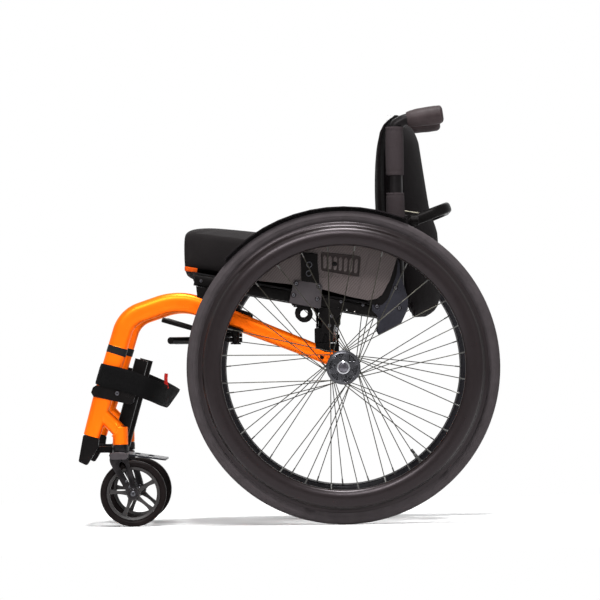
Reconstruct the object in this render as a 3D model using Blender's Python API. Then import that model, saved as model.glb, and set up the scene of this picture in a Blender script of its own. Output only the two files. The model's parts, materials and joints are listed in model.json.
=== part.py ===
"""Active wheelchair with a folding cross brace, in metres, +Z up, -X the way the rider faces.

Lengths along X are first laid out from the rear axle, and lengths along Z from the ground. The
last step moves the whole chair along X, so that its box is centred on the origin.
"""

import math

import bmesh
import bpy
import numpy as np
from mathutils import Matrix, Vector

# Driving sizes: most others follow them
FRAME_TRACK = 0.390
TYRE_RADIUS = 0.295

# Wheels
WHEEL_TRACK = FRAME_TRACK + 0.134
TYRE_WIDTH = 0.025
WHEEL_STEPS = 36
RIM_INNER = TYRE_RADIUS - 0.0645
SPOKE_COUNT = 28
SPOKE_THICK = 0.0022
HUB_RADIUS = 0.034
HUB_WIDTH = 0.044
HANDRIM_OUTER = TYRE_RADIUS - 0.021
HANDRIM_INNER = TYRE_RADIUS - 0.066
HANDRIM_OFFSET = 0.033
AXLE_RADIUS = 0.006
AXLE_SLEEVE_RADIUS = 0.0165
BUTTON_RADIUS = 0.0095
BUTTON_STEM = 0.010
BUTTON_STEM_RADIUS = 0.0045
BUTTON_TRAVEL = 0.004

# Castors
CASTOR_RADIUS = 0.0625
CASTOR_WIDTH = 0.024
CASTOR_TRAIL = 0.023
CASTOR_STEPS = 24
STEM_X = -TYRE_RADIUS - 0.1285
HEAD_RADIUS = 0.0145
FORK_TOP = CASTOR_RADIUS + 0.0915
HEAD_LOW = FORK_TOP + 0.0012
HEAD_HEIGHT = 0.034
STEM_LENGTH = 0.028
STEM_RADIUS = 0.006

# Side frames
FRAME_TUBE_WIDTH = 0.030
FRONT_LEAN = 0.3125
KNEE_Z = TYRE_RADIUS + 0.101
FRAME_FOOT = (STEM_X - 0.0545, HEAD_LOW + 0.0168)
FRAME_KNEE = (FRAME_FOOT[0] + FRONT_LEAN * (KNEE_Z - FRAME_FOOT[1]), KNEE_Z)
FRAME_CREST = (FRAME_KNEE[0] + 0.100, KNEE_Z + 0.0335)
TUBE_END = (-AXLE_SLEEVE_RADIUS / 2, TYRE_RADIUS + 0.0125)
TUBE_SLOPE = (FRAME_CREST[1] - TUBE_END[1]) / (TUBE_END[0] - FRAME_CREST[0])
KNEE_BEND = 0.055
CREST_BEND = 0.110

# Seat
RAIL_FRONT = (FRAME_CREST[0] + 0.029, FRAME_CREST[1] + 0.0355)
RAIL_REAR = (0.080, TYRE_RADIUS + 0.1016)
RAIL_TRACK = FRAME_TRACK - 0.014
RAIL_SIZE = 0.022
RAIL_COSINE = math.cos(math.atan2(RAIL_FRONT[1] - RAIL_REAR[1], RAIL_REAR[0] - RAIL_FRONT[0]))
SLING_THICK = 0.003
SLING_SAG = 0.014
HEM_THICK = 0.0085
CUSHION_FRONT = RAIL_FRONT[0] - 0.019
CUSHION_REAR = RAIL_REAR[0] - 0.016
CUSHION_WIDTH = FRAME_TRACK - 0.040
CUSHION_TOP = RAIL_FRONT[1] + 0.0965
CUSHION_SLOPE = 0.14
CUSHION_CROWN = 0.006

# Cross brace
BRACE_X = -0.0295
ARM_THICK = 0.016
ARM_HEIGHT = 0.024
LOWER_PIVOT_Z = TYRE_RADIUS + 0.0595
UPPER_PIVOT_Z = TYRE_RADIUS + 0.093
PIVOT_TRACK = FRAME_TRACK - 0.024
PIN_RADIUS = 0.004

# Footrest
FRONT_REACH = 0.0795 - STEM_X
POST_BAR = 0.020
POST_TRACK = FRAME_TRACK - 0.076
POST_HIGH = (STEM_X + 0.0415, 0.315)
POST_LOW = (STEM_X - 0.0113, 0.130)
FOOTPLATE_FRONT = (STEM_X - 0.0615, 0.1465)
FOOTPLATE_REAR = (STEM_X + 0.0825, 0.1240)
FOOTPLATE_THICK = 0.003
FOOTPLATE_WIDTH = POST_TRACK - 0.046
FOOTPLATE_HINGE = (-POST_TRACK / 2 + 0.018, 0.1365)
STRAP_THICK = 0.004

# Wheel locks
LOCK_X = FRAME_CREST[0] + 0.1025
LOCK_Y = -FRAME_TRACK / 2 + 0.005
LOCK_SHOE = 0.0765
LOCK_TURN = 32
LOCK_BASE = TUBE_END[1] + TUBE_SLOPE * (TUBE_END[0] - LOCK_X) - 0.0235
LOCK_RISE = LOCK_BASE - 0.0138 - TYRE_RADIUS
LOCK_ARM = LOCK_X + math.sqrt((TYRE_RADIUS + 0.0099) ** 2 - LOCK_RISE**2)
LEVER_TIP = (LOCK_X - 0.1359, LOCK_Y + 0.0240, LOCK_BASE + 0.0262)

# Back
POST_X = RAIL_REAR[0] + 0.0232
POST_FOOT = TYRE_RADIUS + 0.103
POST_TOP = POST_FOOT + 0.350
POST_RADIUS = 0.0136
SLEEVE_RADIUS = 0.0165
HANDLE_RADIUS = 0.011
BACK_PIVOT = (POST_X, POST_FOOT + 0.0437)
PLATE_Y = FRAME_TRACK / 2 + 0.015
GRIP_FRONT = (POST_X + 0.0258, POST_TOP + 0.0147)
GRIP_REAR = (POST_X + 0.0923, POST_TOP + 0.0238)
GRIP_RADIUS = 0.0153
BAR_HINGE = (POST_X + 0.0278, -FRAME_TRACK / 2 + 0.035, POST_FOOT + 0.174)
BAR_REACH = 0.0765
BAR_SPAN = FRAME_TRACK - 0.080
BAR_RISE = 21
BAR_TALL = 0.017
BAR_KNUCKLE = 0.0165
BAR_FOOT = BAR_HINGE[2] - 0.0088

# Guards
GUARD_Y = FRAME_TRACK / 2 + 0.021
GUARD_THICK = 0.0025
GUARD_RADIUS = TYRE_RADIUS + 0.005
FENDER_OUTER = WHEEL_TRACK / 2 + TYRE_WIDTH / 2
FENDER_GAP = 0.0055
FENDER_THICK = 0.0025

# Clearances
TOUCH = 0.0003
RUNNING = 0.0008
ARM_GAP = 0.001

SIDES = {"left": -1, "right": 1}


def material(name, colour, roughness, metallic=0.0):
    made = bpy.data.materials.new(name)
    made.use_nodes = True
    shader = made.node_tree.nodes["Principled BSDF"]
    shader.inputs["Base Color"].default_value = (*colour, 1.0)
    shader.inputs["Roughness"].default_value = roughness
    shader.inputs["Metallic"].default_value = metallic
    made.diffuse_color = (*colour, 1.0)
    return made


def finish(name, mesh, look, origin=None):
    """Links a mesh as an object with its origin on its joint's axis, if it has one."""
    mesh.materials.clear()
    mesh.materials.append(look)
    made = bpy.data.objects.new(name, mesh)
    bpy.context.scene.collection.objects.link(made)
    if origin is not None:
        mesh.transform(Matrix.Translation(-Vector(origin)))
        made.location = origin
    mesh.shade_smooth()
    mesh.set_sharp_from_angle(angle=math.radians(32))
    return made


def mesh_from(points, faces):
    """A mesh with its faces turned outwards and its doubled points made one."""
    mesh = bpy.data.meshes.new("shape")
    mesh.from_pydata([tuple(map(float, p)) for p in points], [], faces)
    work = bmesh.new()
    work.from_mesh(mesh)
    bmesh.ops.remove_doubles(work, verts=work.verts, dist=1e-6)
    bmesh.ops.recalc_face_normals(work, faces=work.faces)
    work.to_mesh(mesh)
    work.free()
    return mesh


def loft(rings, closed=False):
    """Skins rings of equal count, in order, and caps both ends unless the rings close on themselves."""
    count = len(rings[0])
    points = [p for ring in rings for p in ring]
    faces = []
    for i in range(len(rings) - (not closed)):
        a, b = i * count, (i + 1) % len(rings) * count
        for k in range(count):
            n = (k + 1) % count
            faces.append((a + k, a + n, b + n, b + k))
    if not closed:
        faces.append(tuple(range(count)))
        faces.append(tuple(range(len(points) - 1, len(points) - 1 - count, -1)))
    return mesh_from(points, faces)


def oval(half_a, half_b, sides, power=2.0):
    """Points round a superellipse: power 2 is an ellipse, and more is boxier."""
    turns = [2 * math.pi * (k + 0.5) / sides for k in range(sides)]
    found = []
    for t in turns:
        c, s = math.cos(t), math.sin(t)
        found.append(
            (
                half_a * math.copysign(abs(c) ** (2 / power), c),
                half_b * math.copysign(abs(s) ** (2 / power), s),
            )
        )
    return found


def rounded(corners, radii, steps=6):
    """A path through corners, each inner one rounded by its radius."""
    corners = [Vector(c) for c in corners]
    path = [corners[0]]
    for before, here, after, radius in zip(corners, corners[1:], corners[2:], radii):
        a, b = (before - here).normalized(), (after - here).normalized()
        half = a.angle(b) / 2
        reach = radius / math.tan(half)
        centre = here + (a + b).normalized() * radius / math.sin(half)
        start, end = here + a * reach - centre, here + b * reach - centre
        for k in range(steps + 1):
            spin = start.slerp(end, k / steps)
            path.append(centre + spin.normalized() * radius)
    path.append(corners[-1])
    return path


def sweep(path, across, size_at, sides, power=2.0):
    """A tube along a flat path. across is the path plane's normal, and size_at gives the tube's
    half sizes, across and in the plane, for a share of the path's length."""
    across = Vector(across)
    steps = [(b - a).length for a, b in zip(path, path[1:])]
    share = np.concatenate([[0], np.cumsum(steps)]) / sum(steps)
    rings = []
    for i, point in enumerate(path):
        before = path[max(i - 1, 0)]
        after = path[min(i + 1, len(path) - 1)]
        along = (after - before).normalized()
        up = across.cross(along)
        half_a, half_b = size_at(float(share[i]))
        rings.append([point + across * u + up * v for u, v in oval(half_a, half_b, sides, power)])
    return loft(rings)


def turned(profile, centre, axis, steps, start=0.0):
    """A profile of (radius, height) points turned round an axis. Radius 0 makes a pole."""
    spin = Vector((0, 0, 1)).rotation_difference(Vector(axis)).to_matrix()
    rings = []
    for radius, height in profile:
        ring = []
        for k in range(steps):
            t = start + 2 * math.pi * k / steps
            ring.append(Vector(centre) + spin @ Vector((radius * math.cos(t), radius * math.sin(t), height)))
        rings.append(ring)
    return loft(rings, closed=profile[0][0] > 0 and profile[0] == profile[-1])


def ring_of(profile, centre, axis, steps):
    """A closed profile turned into a ring."""
    return turned([*profile, profile[0]], centre, axis, steps)


def rod(start, end, radius, sides=12):
    start, end = Vector(start), Vector(end)
    along = end - start
    return turned([(radius, 0), (radius, along.length)], start, along.normalized(), sides)


def slab(outline, low, high, plane="XZ"):
    """An outline in a plane, extruded from low to high along the plane's normal."""
    place = {
        "XZ": lambda u, v, w: (u, w, v),
        "YZ": lambda u, v, w: (w, u, v),
        "XY": lambda u, v, w: (u, v, w),
    }[plane]
    return loft([[place(u, v, w) for u, v in outline] for w in (low, high)])


def block(low, high):
    (x, y, z), (u, v, w) = low, high
    return slab([(x, y), (u, y), (u, v), (x, v)], z, w, "XY")


def softened(outline, radius, steps=3):
    """An outline with its corners rounded."""
    count = len(outline)
    found = []
    for i in range(count):
        here = Vector((*outline[i], 0))
        a = Vector((*outline[i - 1], 0)) - here
        b = Vector((*outline[(i + 1) % count], 0)) - here
        half = a.angle(b) / 2
        limit = 0.45 * min(a.length, b.length)
        reach = min(radius / math.tan(half), limit)
        turn = reach * math.tan(half)
        centre = here + (a.normalized() + b.normalized()).normalized() * turn / math.sin(half)
        start, end = here + a.normalized() * reach - centre, here + b.normalized() * reach - centre
        for k in range(steps + 1):
            spot = centre + start.slerp(end, k / steps).normalized() * turn
            found.append((spot.x, spot.y))
    return found


def turned_corners(corners, turn, centre):
    """Corners given along and across a spoke's direction, turned about the wheel's centre."""
    c, s = math.cos(turn), math.sin(turn)
    return [(centre[0] + r * c - w * s, centre[1] + r * s + w * c) for r, w in corners]


def combined(base, others, operation="UNION"):
    """One mesh from a base and other meshes, by the exact Boolean."""
    holder = bpy.data.objects.new("base", base)
    tools = [bpy.data.objects.new("tool", mesh) for mesh in others]
    for thing in [holder, *tools]:
        bpy.context.scene.collection.objects.link(thing)
    for tool in tools:
        step = holder.modifiers.new("step", "BOOLEAN")
        step.operation = operation
        step.solver = "EXACT"
        step.object = tool
    graph = bpy.context.evaluated_depsgraph_get()
    result = bpy.data.meshes.new_from_object(holder.evaluated_get(graph))
    for thing in [holder, *tools]:
        bpy.data.objects.remove(thing)
    return result


def joined(meshes):
    """Meshes that don't touch each other, put into one to serve as a single Boolean tool."""
    work = bmesh.new()
    for mesh in meshes:
        work.from_mesh(mesh)
    result = bpy.data.meshes.new("joined")
    work.to_mesh(result)
    work.free()
    return result


def flipped(mesh):
    """The mesh mirrored to the other side of the chair."""
    copy = mesh.copy()
    copy.transform(Matrix.Scale(-1, 4, (0, 1, 0)))
    copy.flip_normals()
    return copy


def both_sides(name, mesh, look, origin=None):
    """The left piece as modelled, and its mirror image on the right."""
    twin = flipped(mesh)
    finish(f"{name}_left", mesh, look, origin)
    there = None if origin is None else (origin[0], -origin[1], origin[2])
    finish(f"{name}_right", twin, look, there)


def frame_tube(grown=0.0):
    """The left side's bent tube. Grown a little, it cuts the seats of what clamps onto it."""
    y = -FRAME_TRACK / 2
    corners = [(x, y, z) for x, z in (FRAME_FOOT, FRAME_KNEE, FRAME_CREST, TUBE_END)]
    path = rounded(corners, (KNEE_BEND, CREST_BEND), 5)
    half = FRAME_TUBE_WIDTH / 2 + grown
    foot, front, rear = 0.0155, 0.0187, 0.0148

    def size_at(share):
        tall = np.interp(share, (0, 0.12, 0.55, 0.8, 1), (foot, front, front, 0.0160, rear))
        return half, float(tall) + grown

    return sweep(path, (0, 1, 0), size_at, 12, 2.6)


def side_frames():
    """Front tube, knee, crest and axle tube in one bend, with the castor arm and head welded on."""
    y = -FRAME_TRACK / 2
    across = (0, 1, 0)
    frame = frame_tube()
    arm_root = Vector((FRAME_FOOT[0] + 0.0095, y, FRAME_FOOT[1] + 0.0545))
    head = Vector((STEM_X, y, HEAD_LOW))
    arm_end = Vector((STEM_X, y, HEAD_LOW + 0.0243))
    arm = sweep([arm_root, arm_end], across, lambda share: (0.0135, 0.0138), 12, 2.3)
    tower = rod(head, head + Vector((0, 0, HEAD_HEIGHT)), HEAD_RADIUS, 14)
    frame = combined(frame, [arm, tower])
    cope = rod((0, -1, TYRE_RADIUS), (0, 1, TYRE_RADIUS), AXLE_SLEEVE_RADIUS + TOUCH, 20)
    deep = Vector((0, 0, STEM_LENGTH + RUNNING))
    socket = rod(head - Vector((0, 0, 0.01)), head + deep, STEM_RADIUS + RUNNING, 12)
    spot = (-0.040, TYRE_RADIUS + 0.0200)
    drilled = rod((spot[0], -1, spot[1]), (spot[0], 1, spot[1]), 0.0035, 10)
    frame = combined(frame, [cope, socket, drilled], "DIFFERENCE")
    both_sides("side_frame", frame, ORANGE)


def axle_sleeves():
    """The receiver at the tube's rear end that the quick-release axle plugs into."""
    inner, outer = FRAME_TRACK / 2 - 0.019, WHEEL_TRACK / 2 - HUB_WIDTH / 2 - 0.0015
    bore, wall = AXLE_RADIUS + RUNNING, AXLE_SLEEVE_RADIUS
    profile = [(bore, inner), (wall - 0.001, inner), (wall, inner + 0.001), (wall, outer - 0.006)]
    profile += [(wall - 0.003, outer - 0.004), (wall - 0.003, outer), (bore, outer)]
    mesh = ring_of(profile, (0, 0, TYRE_RADIUS), (0, -1, 0), 16)
    both_sides("axle_sleeve", mesh, BLACK)


def rear_wheels():
    centre = (0, -WHEEL_TRACK / 2, TYRE_RADIUS)
    out = (0, -1, 0)
    half = TYRE_WIDTH / 2
    bead = TYRE_RADIUS - 0.0245
    crown = [(bead, half * 0.70), (bead + 0.0095, half)]
    crown += [(TYRE_RADIUS - 0.0045, half * 0.74), (TYRE_RADIUS, 0)]
    profile = crown + [(r, -w) for r, w in reversed(crown[:-1])]
    both_sides("tyre", ring_of(profile, centre, out, WHEEL_STEPS), TYRE_BLACK, centre)

    seat = bead - TOUCH
    foot = RIM_INNER
    wall = [(seat - 0.014, 0.0100), (foot, 0.0056)]
    well = [(seat, 0.0085)]
    profile = well + wall + [(r, -w) for r, w in reversed(well + wall)]
    rim = ring_of(profile, centre, out, WHEEL_STEPS)
    rim = combined(rim, [joined(spokes(centre))])
    both_sides("rim", rim, RIM_BLACK, centre)

    hub_pieces(centre)
    handrims(centre)


def spokes(centre):
    """Spokes laced tangent to the hub, leading and trailing in turn, from alternate flanges."""
    tangent = 0.024
    start, end = HUB_RADIUS - 0.0008, RIM_INNER + 0.003
    lead_in = math.acos(tangent / end) - math.acos(tangent / start)
    found = []
    for k in range(SPOKE_COUNT):
        at_rim = 2 * math.pi * (k + 0.5) / SPOKE_COUNT
        flange = 1 if k % 2 else -1
        trail = 1 if k % 4 < 2 else -1
        at_hub = at_rim - trail * lead_in
        ends = []
        for radius, turn, dish in ((start, at_hub, 0.0125), (end, at_rim, 0.0030)):
            y = -(flange * dish + trail * SPOKE_THICK * 0.62)
            ends.append(Vector(centre) + Vector((radius * math.cos(turn), y, radius * math.sin(turn))))
        found.append(rod(ends[0], ends[1], SPOKE_THICK / 2, 4))
    return found


def hub_pieces(centre):
    """The flanged hub, the quick-release axle in it, and the axle's push button."""
    half, bore = HUB_WIDTH / 2, AXLE_RADIUS + RUNNING
    flange = HUB_RADIUS - 0.002
    profile = [(bore, -half), (0.018, -half), (0.018, -0.0190)]
    profile += [(flange, -0.0175), (flange, -0.0090), (0.016, -0.0080), (0.016, 0.0080)]
    profile += [(flange, 0.0090), (flange, 0.0170), (HUB_RADIUS - 0.006, half - 0.001)]
    profile += [(0.020, half), (bore, half)]
    hub = ring_of(profile, centre, (0, -1, 0), 18)
    face_y = centre[1] - half
    windows = []
    for k in range(6):
        turn = math.radians(46 + 60 * k)
        corners = []
        for radius, swing in ((0.0155, 0), (0.0262, 0.30), (0.0262, -0.30)):
            corners.append((radius * math.cos(turn + swing), TYRE_RADIUS + radius * math.sin(turn + swing)))
        windows.append(slab(softened(corners, 0.0012, 1), face_y - 0.002, face_y + 0.0085))
    hub = combined(hub, [joined(windows)], "DIFFERENCE")
    both_sides("hub", hub, HUB_BLACK, centre)

    head = face_y - TOUCH
    inner = -FRAME_TRACK / 2 + 0.019 + 0.004
    nose = [(0, -inner), (AXLE_RADIUS - 0.0015, -inner), (AXLE_RADIUS, -inner + 0.0015)]
    depth = BUTTON_STEM + BUTTON_TRAVEL + 0.002
    bore, rim = BUTTON_STEM_RADIUS + RUNNING, -head + 0.0037
    profile = nose + [(AXLE_RADIUS, -head), (0.0125, -head), (0.0125, -head + 0.0025), (0.0110, rim)]
    profile += [(bore, rim), (bore, rim - depth), (0, rim - depth)]
    origin = (0, 0, TYRE_RADIUS)
    both_sides("axle", turned(profile, origin, (0, -1, 0), 12), STEEL, centre)

    base = rim + BUTTON_TRAVEL + TOUCH
    profile = [(0, base - BUTTON_STEM), (BUTTON_STEM_RADIUS, base - BUTTON_STEM), (BUTTON_STEM_RADIUS, base)]
    profile += [(BUTTON_RADIUS, base), (BUTTON_RADIUS, base + 0.0022), (BUTTON_RADIUS * 0.86, base + 0.0040)]
    profile += [(BUTTON_RADIUS * 0.5, base + 0.0051), (0, base + 0.0055)]
    both_sides("axle_button", turned(profile, origin, (0, -1, 0), 12), SILVER, centre)


def handrims(centre):
    """An oval grip tube with a flat flange towards the tyre, on tabs that reach the rim."""
    middle = (HANDRIM_OUTER - 0.0105 + HANDRIM_INNER) / 2
    tall = (HANDRIM_OUTER - 0.0105 - HANDRIM_INNER) / 2
    wide = 0.0105
    profile = []
    for turn in np.linspace(math.radians(24), math.radians(312), 6):
        profile.append((middle + tall * math.cos(turn), HANDRIM_OFFSET + wide * math.sin(turn)))
    edge = HANDRIM_OUTER - 0.001
    profile += [(edge, 0.0195), (edge, 0.0220)]
    ring = ring_of(profile, centre, (0, -1, 0), WHEEL_STEPS)
    tabs = []
    for k in range(6):
        turn = 2 * math.pi * (k + 0.25) / 6
        near, far = RIM_INNER + 0.0255, RIM_INNER + 0.0335
        corners = [(near, -0.011), (far, -0.011), (far, 0.011), (near, 0.011)]
        places = turned_corners(corners, turn, (0, TYRE_RADIUS))
        tabs.append(slab(places, centre[1] - 0.0245, centre[1] - 0.0100 - TOUCH))
    ring = combined(ring, [joined(tabs)])
    both_sides("handrim", ring, HANDRIM_BLACK, centre)


def castors():
    y = -FRAME_TRACK / 2
    stem = Vector((STEM_X, y, 0))
    axle = Vector((STEM_X + CASTOR_TRAIL, y, CASTOR_RADIUS))
    plate_in = CASTOR_WIDTH / 2 + 0.0025
    plate_out = plate_in + 0.005
    outline = [(-0.0172, 0.0775), (0.0172, 0.0775), (0.0195, 0.0575), (0.0325, -0.0025)]
    outline += [(0.0290, -0.0110), (0.0190, -0.0110), (0.0140, -0.0025), (-0.0172, 0.0605)]
    outline = softened([(STEM_X + u, axle.z + v) for u, v in outline], 0.004, 1)
    window = [(-0.0095, 0.0565), (0.0120, 0.0565), (0.0215, 0.0140)]
    window = softened([(STEM_X + u, axle.z + v) for u, v in window], 0.0025, 1)
    plates = [slab(outline, y - plate_out, y - plate_in), slab(outline, y + plate_in, y + plate_out)]
    low, high = FORK_TOP - 0.0255, FORK_TOP - 0.0135
    bridge = block((STEM_X - 0.0170, y - plate_out, low), (STEM_X + 0.0170, y + plate_out, high))
    profile = [(0.0165, high - 0.002), (0.0165, FORK_TOP - 0.001), (0.0155, FORK_TOP)]
    crown = turned(profile, stem, (0, 0, 1), 12)
    foot, tip = Vector((0, 0, FORK_TOP - 0.004)), Vector((0, 0, HEAD_LOW + STEM_LENGTH))
    spindle = rod(stem + foot, stem + tip, STEM_RADIUS, 10)
    half = Vector((0, plate_out + 0.002, 0))
    bolt = rod(axle - half, axle + half, 0.004, 10)
    cut = slab(window, y - 0.05, y + 0.05)
    fork = combined(plates[0], [plates[1]])
    fork = combined(fork, [cut], "DIFFERENCE")
    fork = combined(fork, [bridge, crown, spindle, bolt])
    both_sides("castor_fork", fork, BLACK, stem)

    out = (0, -1, 0)
    tread = CASTOR_RADIUS
    seat = tread - 0.0120
    half = CASTOR_WIDTH / 2
    profile = [(seat, half * 0.75), (seat + 0.004, half)]
    profile += [(tread - 0.003, half * 0.86), (tread, half * 0.40)]
    profile += [(r, -w) for r, w in reversed(profile)]
    both_sides("castor_tyre", ring_of(profile, axle, out, CASTOR_STEPS), TYRE_BLACK, axle)

    wall, lip = tread - 0.0180, seat - TOUCH
    ring = ring_of([(wall, 0.0085), (lip, 0.0100), (lip, -0.0100), (wall, -0.0085)], axle, out, CASTOR_STEPS)
    profile = [(0.0048, 0.0130), (0.0105, 0.0130), (0.0125, 0.0100)]
    profile += [(r, -w) for r, w in reversed(profile)]
    hub = ring_of(profile, axle, out, 12)
    arms = []
    for k in range(5):
        turn = 2 * math.pi * k / 5 + 0.55
        corners = [(0.0100, -0.0062), (0.0300, -0.0034), (wall + 0.0025, -0.0062)]
        corners += [(wall + 0.0025, 0.0030), (0.0300, 0.0030), (0.0100, 0.0030)]
        arms.append(slab(turned_corners(corners, turn, (axle.x, axle.z)), y - 0.0055, y + 0.0055))
    both_sides("castor_wheel", combined(hub, [ring, *arms]), BLACK, axle)


def rail_line(x, lift=0.0):
    """Height of the rail's centre line at x."""
    slope = (RAIL_REAR[1] - RAIL_FRONT[1]) / (RAIL_REAR[0] - RAIL_FRONT[0])
    return RAIL_FRONT[1] + slope * (x - RAIL_FRONT[0]) + lift


def rail_top(x):
    return rail_line(x, RAIL_SIZE / 2 / RAIL_COSINE)


def seat_rails():
    """Square rail with rounded edges, with its row of adjustment holes near the rear."""
    y = -RAIL_TRACK / 2
    ends = [Vector((x, y, z)) for x, z in (RAIL_FRONT, RAIL_REAR)]
    half = RAIL_SIZE / 2
    rail = sweep(ends, (0, 1, 0), lambda share: (half, half), 12, 7)
    holes = []
    for k in range(3):
        x = RAIL_REAR[0] - 0.0865 + 0.0150 * k
        z = rail_line(x, -0.0060)
        holes.append(rod((x, y - 0.05, z), (x, y + 0.05, z), 0.0021, 8))
    rail = combined(rail, [joined(holes)], "DIFFERENCE")
    both_sides("seat_rail", rail, BLACK)

    low, under = FRAME_CREST[1] - 0.020, -0.0112 - TOUCH
    front, rear = RAIL_FRONT[0] + 0.003, RAIL_FRONT[0] + 0.031
    outline = [(front, rail_line(front, under)), (rear, rail_line(rear, under))]
    outline += [(rear - 0.008, low), (front + 0.004, low)]
    saddle = slab(outline, y - 0.018, y + 0.008)
    saddle = combined(saddle, [frame_tube(TOUCH)], "DIFFERENCE")
    both_sides("rail_saddle", saddle, BLACK)


def brace_plane(arm):
    """Where arm 0 or arm 1 lies along X: they pass each other at the centre bolt."""
    return BRACE_X + (arm - 0.5) * (ARM_THICK + ARM_GAP)


def cross_brace():
    """Two arms that cross at a bolt. Each hinges on its own side's frame and carries the other
    side's seat rail."""
    radius = ARM_HEIGHT / 2
    half = PIVOT_TRACK / 2
    bore = PIN_RADIUS + RUNNING
    for arm, low_side in ((0, "left"), (1, "right")):
        x = brace_plane(arm)
        low = Vector((SIDES[low_side] * half, LOWER_PIVOT_Z))
        high = Vector((-SIDES[low_side] * half, UPPER_PIVOT_Z))
        along = (high - low).normalized()
        square = Vector((-along.y, along.x))
        outline = []
        for end, way in ((low, -1), (high, 1)):
            for k in range(7):
                t = math.radians(-90 + 30 * k)
                spot = end + (along * math.cos(t) + square * math.sin(t)) * radius * way
                outline.append((spot.x, spot.y))
        body = slab(outline, x - ARM_THICK / 2, x + ARM_THICK / 2, "YZ")
        cuts = []
        for end in (low, high, (low + high) / 2):
            cuts.append(rod((x - 0.02, end.x, end.y), (x + 0.02, end.x, end.y), bore, 10))
        for share in (0.16, 0.34, 0.66, 0.84):
            middle = low.lerp(high, share)
            corners = []
            for u, v in ((-0.024, -0.0045), (0.024, -0.0045), (0.024, 0.0045), (-0.024, 0.0045)):
                spot = middle + along * u + square * v
                corners.append((spot.x, spot.y))
            cuts.append(slab(softened(corners, 0.0040, 1), x - 0.02, x + 0.02, "YZ"))
        body = combined(body, [joined(cuts)], "DIFFERENCE")
        origin = (x, low.x, low.y)
        finish(f"cross_arm_{low_side}", body, BLACK, origin)
        lower_pivot(low_side, x)
        upper_pivot("right" if low_side == "left" else "left", x)

    middle = (LOWER_PIVOT_Z + UPPER_PIVOT_Z) / 2
    reach = ARM_THICK + ARM_GAP / 2 + 0.0005
    head = 0.0045
    profile = [(0, -reach - head), (0.0085, -reach - head), (0.0085, -reach), (PIN_RADIUS, -reach)]
    profile += [(PIN_RADIUS, reach), (0.0085, reach), (0.0085, reach + head), (0, reach + head)]
    bolt = turned(profile, (BRACE_X, 0, middle), (1, 0, 0), 14)
    finish("brace_bolt", bolt, STEEL, (BRACE_X, 0, middle))


def lower_pivot(side, x):
    """A saddle on the frame tube with two ears and a pin for the arm's lower end."""
    sign = SIDES[side]
    y = sign * PIVOT_TRACK / 2
    slot = ARM_THICK / 2 + RUNNING
    ear = slot + 0.004
    wide = ear + 0.001
    z, tube_y = LOWER_PIVOT_Z, sign * FRAME_TRACK / 2
    base = block((x - wide, tube_y - 0.0145, z - 0.0298), (x + wide, tube_y + 0.0145, z - 0.0130))
    rise = [(y - 0.0110, z - 0.0150), (y + 0.0110, z - 0.0150), (y + 0.0110, z + 0.0020)]
    rise += [(y + 0.0060, z + 0.0100), (y - 0.0060, z + 0.0100), (y - 0.0110, z + 0.0020)]
    ears = [slab(rise, x - ear, x - slot, "YZ"), slab(rise, x + slot, x + ear, "YZ")]
    pin = rod((x - ear - 0.0025, y, z), (x + ear + 0.0025, y, z), PIN_RADIUS, 12)
    tube = frame_tube(TOUCH)
    if side == "right":
        tube = flipped(tube)
    body = combined(combined(base, ears), [tube], "DIFFERENCE")
    finish(f"lower_pivot_{side}", combined(body, [pin]), BLACK)


def upper_pivot(side, x):
    """A flared bracket under the seat rail, slotted for the arm's upper end."""
    sign = SIDES[side]
    y = sign * PIVOT_TRACK / 2
    slot = ARM_THICK / 2 + RUNNING
    low = UPPER_PIVOT_Z - 0.0125
    front, rear = x - 0.0185, x + 0.0170
    under = -0.0112 - TOUCH
    waist = UPPER_PIVOT_Z + 0.0020
    outline = [(front, rail_line(front, under)), (rear, rail_line(rear, under)), (x + 0.0120, waist)]
    outline += [(x + 0.0115, low), (x - 0.0115, low), (x - 0.0120, waist)]
    body = slab(outline, y - 0.0125, y + 0.0125)
    top = UPPER_PIVOT_Z + ARM_HEIGHT / 2 + RUNNING
    cut = block((x - slot, y - 0.03, low - 0.01), (x + slot, y + 0.03, top))
    pin = rod((x - 0.0135, y, UPPER_PIVOT_Z), (x + 0.0135, y, UPPER_PIVOT_Z), PIN_RADIUS, 12)
    body = combined(body, [cut], "DIFFERENCE")
    finish(f"upper_pivot_{side}", combined(body, [pin]), BLACK)


def seat_sag(y):
    """How far the sling hangs below the rails at y."""
    inner = RAIL_TRACK / 2 - RAIL_SIZE / 2
    return SLING_SAG * max(0.0, 1 - (abs(y) / inner) ** 2)


def seat_sling():
    """Sheet over both rails, sagging between them, with a rolled hem at the front."""
    edge = RAIL_TRACK / 2 + RAIL_SIZE / 2
    inner = RAIL_TRACK / 2 - RAIL_SIZE / 2
    across = [edge * k / 6.35 for k in range(-5, 6)]
    across = [-edge, -inner, *across[1:-1], inner, edge]
    rings = []
    start, end = RAIL_FRONT[0], RAIL_REAR[0]
    hem = start + 0.019
    along = (start - 0.017, start - 0.015, hem - 0.002, hem + 0.004)
    for x in (*along, start + 0.180, end - 0.022):
        thick = HEM_THICK if x < hem else SLING_THICK
        low = [(x, y, rail_top(x) + TOUCH - seat_sag(y)) for y in across]
        high = [(x, y, z + thick) for _, y, z in reversed(low)]
        rings.append(low + high)
    finish("seat_sling", loft(rings), FABRIC)


def cushion_low(x, y):
    step = (RAIL_FRONT[0] + 0.020, RAIL_FRONT[0] + 0.029)
    hem = float(np.interp(x, step, (HEM_THICK, SLING_THICK)))
    return rail_top(x) + 2 * TOUCH + hem - seat_sag(y)


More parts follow.
